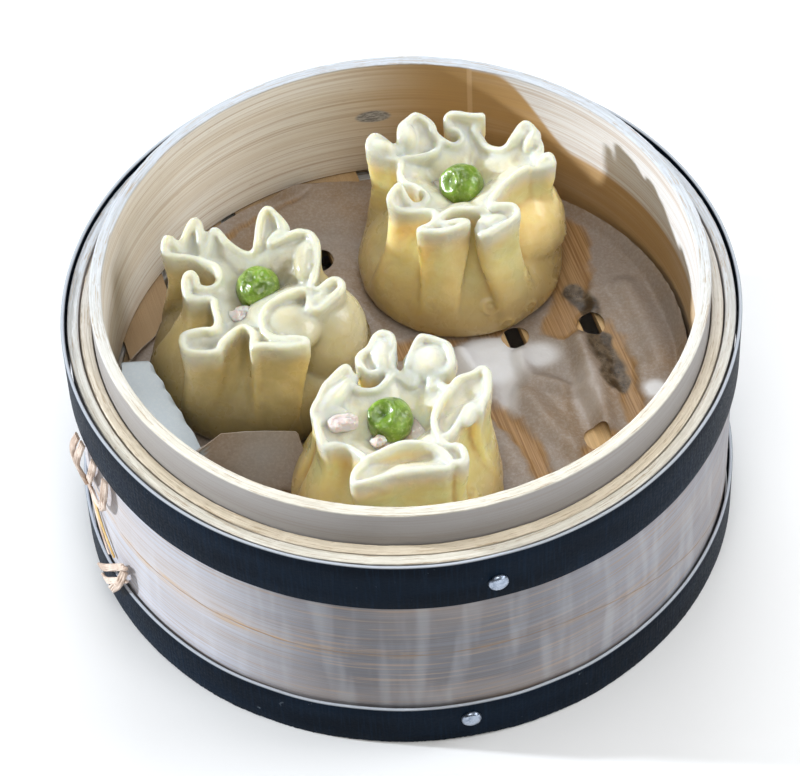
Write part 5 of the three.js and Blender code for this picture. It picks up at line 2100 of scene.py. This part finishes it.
class DumplingSettings(bpy.types.PropertyGroup):
    dough_shade: FloatVectorProperty(
        name="Dim dough", description="The dimmest dough", subtype="COLOR", default=(0.74, 0.61, 0.31)
    )
    dough_color: FloatVectorProperty(
        name="Dough", description="Plain dough", subtype="COLOR", default=(1.0, 0.83, 0.41)
    )
    dough_deep: FloatVectorProperty(
        name="Deep dough", description="Soaked patches", subtype="COLOR", default=(0.93, 0.71, 0.29)
    )
    dough_fold_shade: FloatVectorProperty(
        name="Folds", description="Valleys of the frill", subtype="COLOR", default=(0.66, 0.39, 0.1)
    )
    dough_low: FloatVectorProperty(
        name="Lower dough", description="Dough near the foot", subtype="COLOR", default=(0.43, 0.3, 0.13)
    )
    dough_edge: FloatVectorProperty(
        name="Edge", description="Lip of the wrapper", subtype="COLOR", default=(0.6, 0.62, 0.56)
    )
    dough_depth: FloatProperty(
        name="Depth of light", description="How deep light goes in", subtype="DISTANCE", default=0.004
    )
    wrapper_thickness: FloatProperty(
        name="Wrapper", description="Thickness of the wrapper", subtype="DISTANCE", default=0.0014
    )
    lip_thickness: FloatProperty(
        name="Lip", description="Thickness of the swollen lip", subtype="DISTANCE", default=0.0017
    )
    wrapper_grain: FloatProperty(
        name="Grain", description="Size of the wrapper's finest form", subtype="DISTANCE", default=0.00045
    )
    pork_color: FloatVectorProperty(
        name="Pork", description="Cooked minced pork", subtype="COLOR", default=(0.62, 0.5, 0.42)
    )
    pea_color: FloatVectorProperty(
        name="Pea", description="Skin of the peas", subtype="COLOR", default=(0.22, 0.36, 0.03)
    )


class PaperSettings(bpy.types.PropertyGroup):
    paper_color: FloatVectorProperty(
        name="Paper", description="Paper that is only damp", subtype="COLOR", default=(0.4, 0.33, 0.28)
    )
    paper_wet: FloatVectorProperty(
        name="Wet paper", description="Paper that is soaked", subtype="COLOR", default=(0.39, 0.27, 0.17)
    )
    paper_thickness: FloatProperty(
        name="Thickness", description="Thickness of the paper", subtype="DISTANCE", default=0.00025
    )


class StageSettings(bpy.types.PropertyGroup):
    fill_strength: FloatProperty(name="Fill", description="Strength of the light all round", default=0.07)
    key_strength: FloatProperty(name="Key", description="Strength of the key light", default=4.4)
    key_softness: FloatProperty(
        name="Softness", description="Size of the key light", subtype="ANGLE", default=math.radians(3)
    )
    key_azimuth: FloatProperty(
        name="Key azimuth", description="Way the key light goes, in degrees", default=-9.0
    )
    key_elevation: FloatProperty(
        name="Key height", description="Angle of the key light", subtype="ANGLE", default=math.radians(15.4)
    )
    lens: FloatProperty(name="Lens", description="Focal length in millimetres", default=153.0)
    view_elevation: FloatProperty(
        name="View height", description="Angle of the view", subtype="ANGLE", default=math.radians(49.4)
    )
    view_roll: FloatProperty(
        name="View roll", description="Turn of the camera", subtype="ANGLE", default=math.radians(-2.73)
    )
    view_distance: FloatProperty(
        name="View distance", description="Camera to target", subtype="DISTANCE", default=0.771
    )
    view_target: FloatVectorProperty(
        name="Target", description="What the camera looks at", subtype="XYZ", default=(-0.0011, 0, 0.0327)
    )


# ---------------- panel and registration

OPERATORS = [
    STEAMER_OT_stage,
    STEAMER_OT_hoops,
    STEAMER_OT_bands,
    STEAMER_OT_rivets,
    STEAMER_OT_slats,
    STEAMER_OT_tie,
    STEAMER_OT_paper,
    STEAMER_OT_wrappers,
    STEAMER_OT_fillings,
    STEAMER_OT_peas,
]
SETTINGS = {
    "steamer_basket": BasketSettings,
    "steamer_dumplings": DumplingSettings,
    "steamer_paper": PaperSettings,
    "steamer_stage": StageSettings,
}


class STEAMER_PT_panel(bpy.types.Panel):
    """Lists the steps that make the steamer and its dumplings"""

    bl_idname = "STEAMER_PT_panel"
    bl_label = "Steamer"
    bl_space_type = "VIEW_3D"
    bl_region_type = "UI"
    bl_category = "Steamer"

    def draw(self, context):
        for operator in OPERATORS:
            self.layout.operator(operator.bl_idname)
        for name, group in SETTINGS.items():
            box = self.layout.box()
            for key in group.__annotations__:
                box.prop(getattr(context.scene, name), key)


def register():
    for group in [*SETTINGS.values(), *OPERATORS, STEAMER_PT_panel]:
        bpy.utils.register_class(group)
    for name, group in SETTINGS.items():
        setattr(bpy.types.Scene, name, PointerProperty(type=group))


def unregister():
    for name in SETTINGS:
        delattr(bpy.types.Scene, name)
    for group in [STEAMER_PT_panel, *OPERATORS[::-1], *SETTINGS.values()]:
        bpy.utils.unregister_class(group)


def main():
    register()
    for operator in OPERATORS:
        family, name = operator.bl_idname.split(".")
        getattr(getattr(bpy.ops, family), name)()


if __name__ == "__main__":
    main()
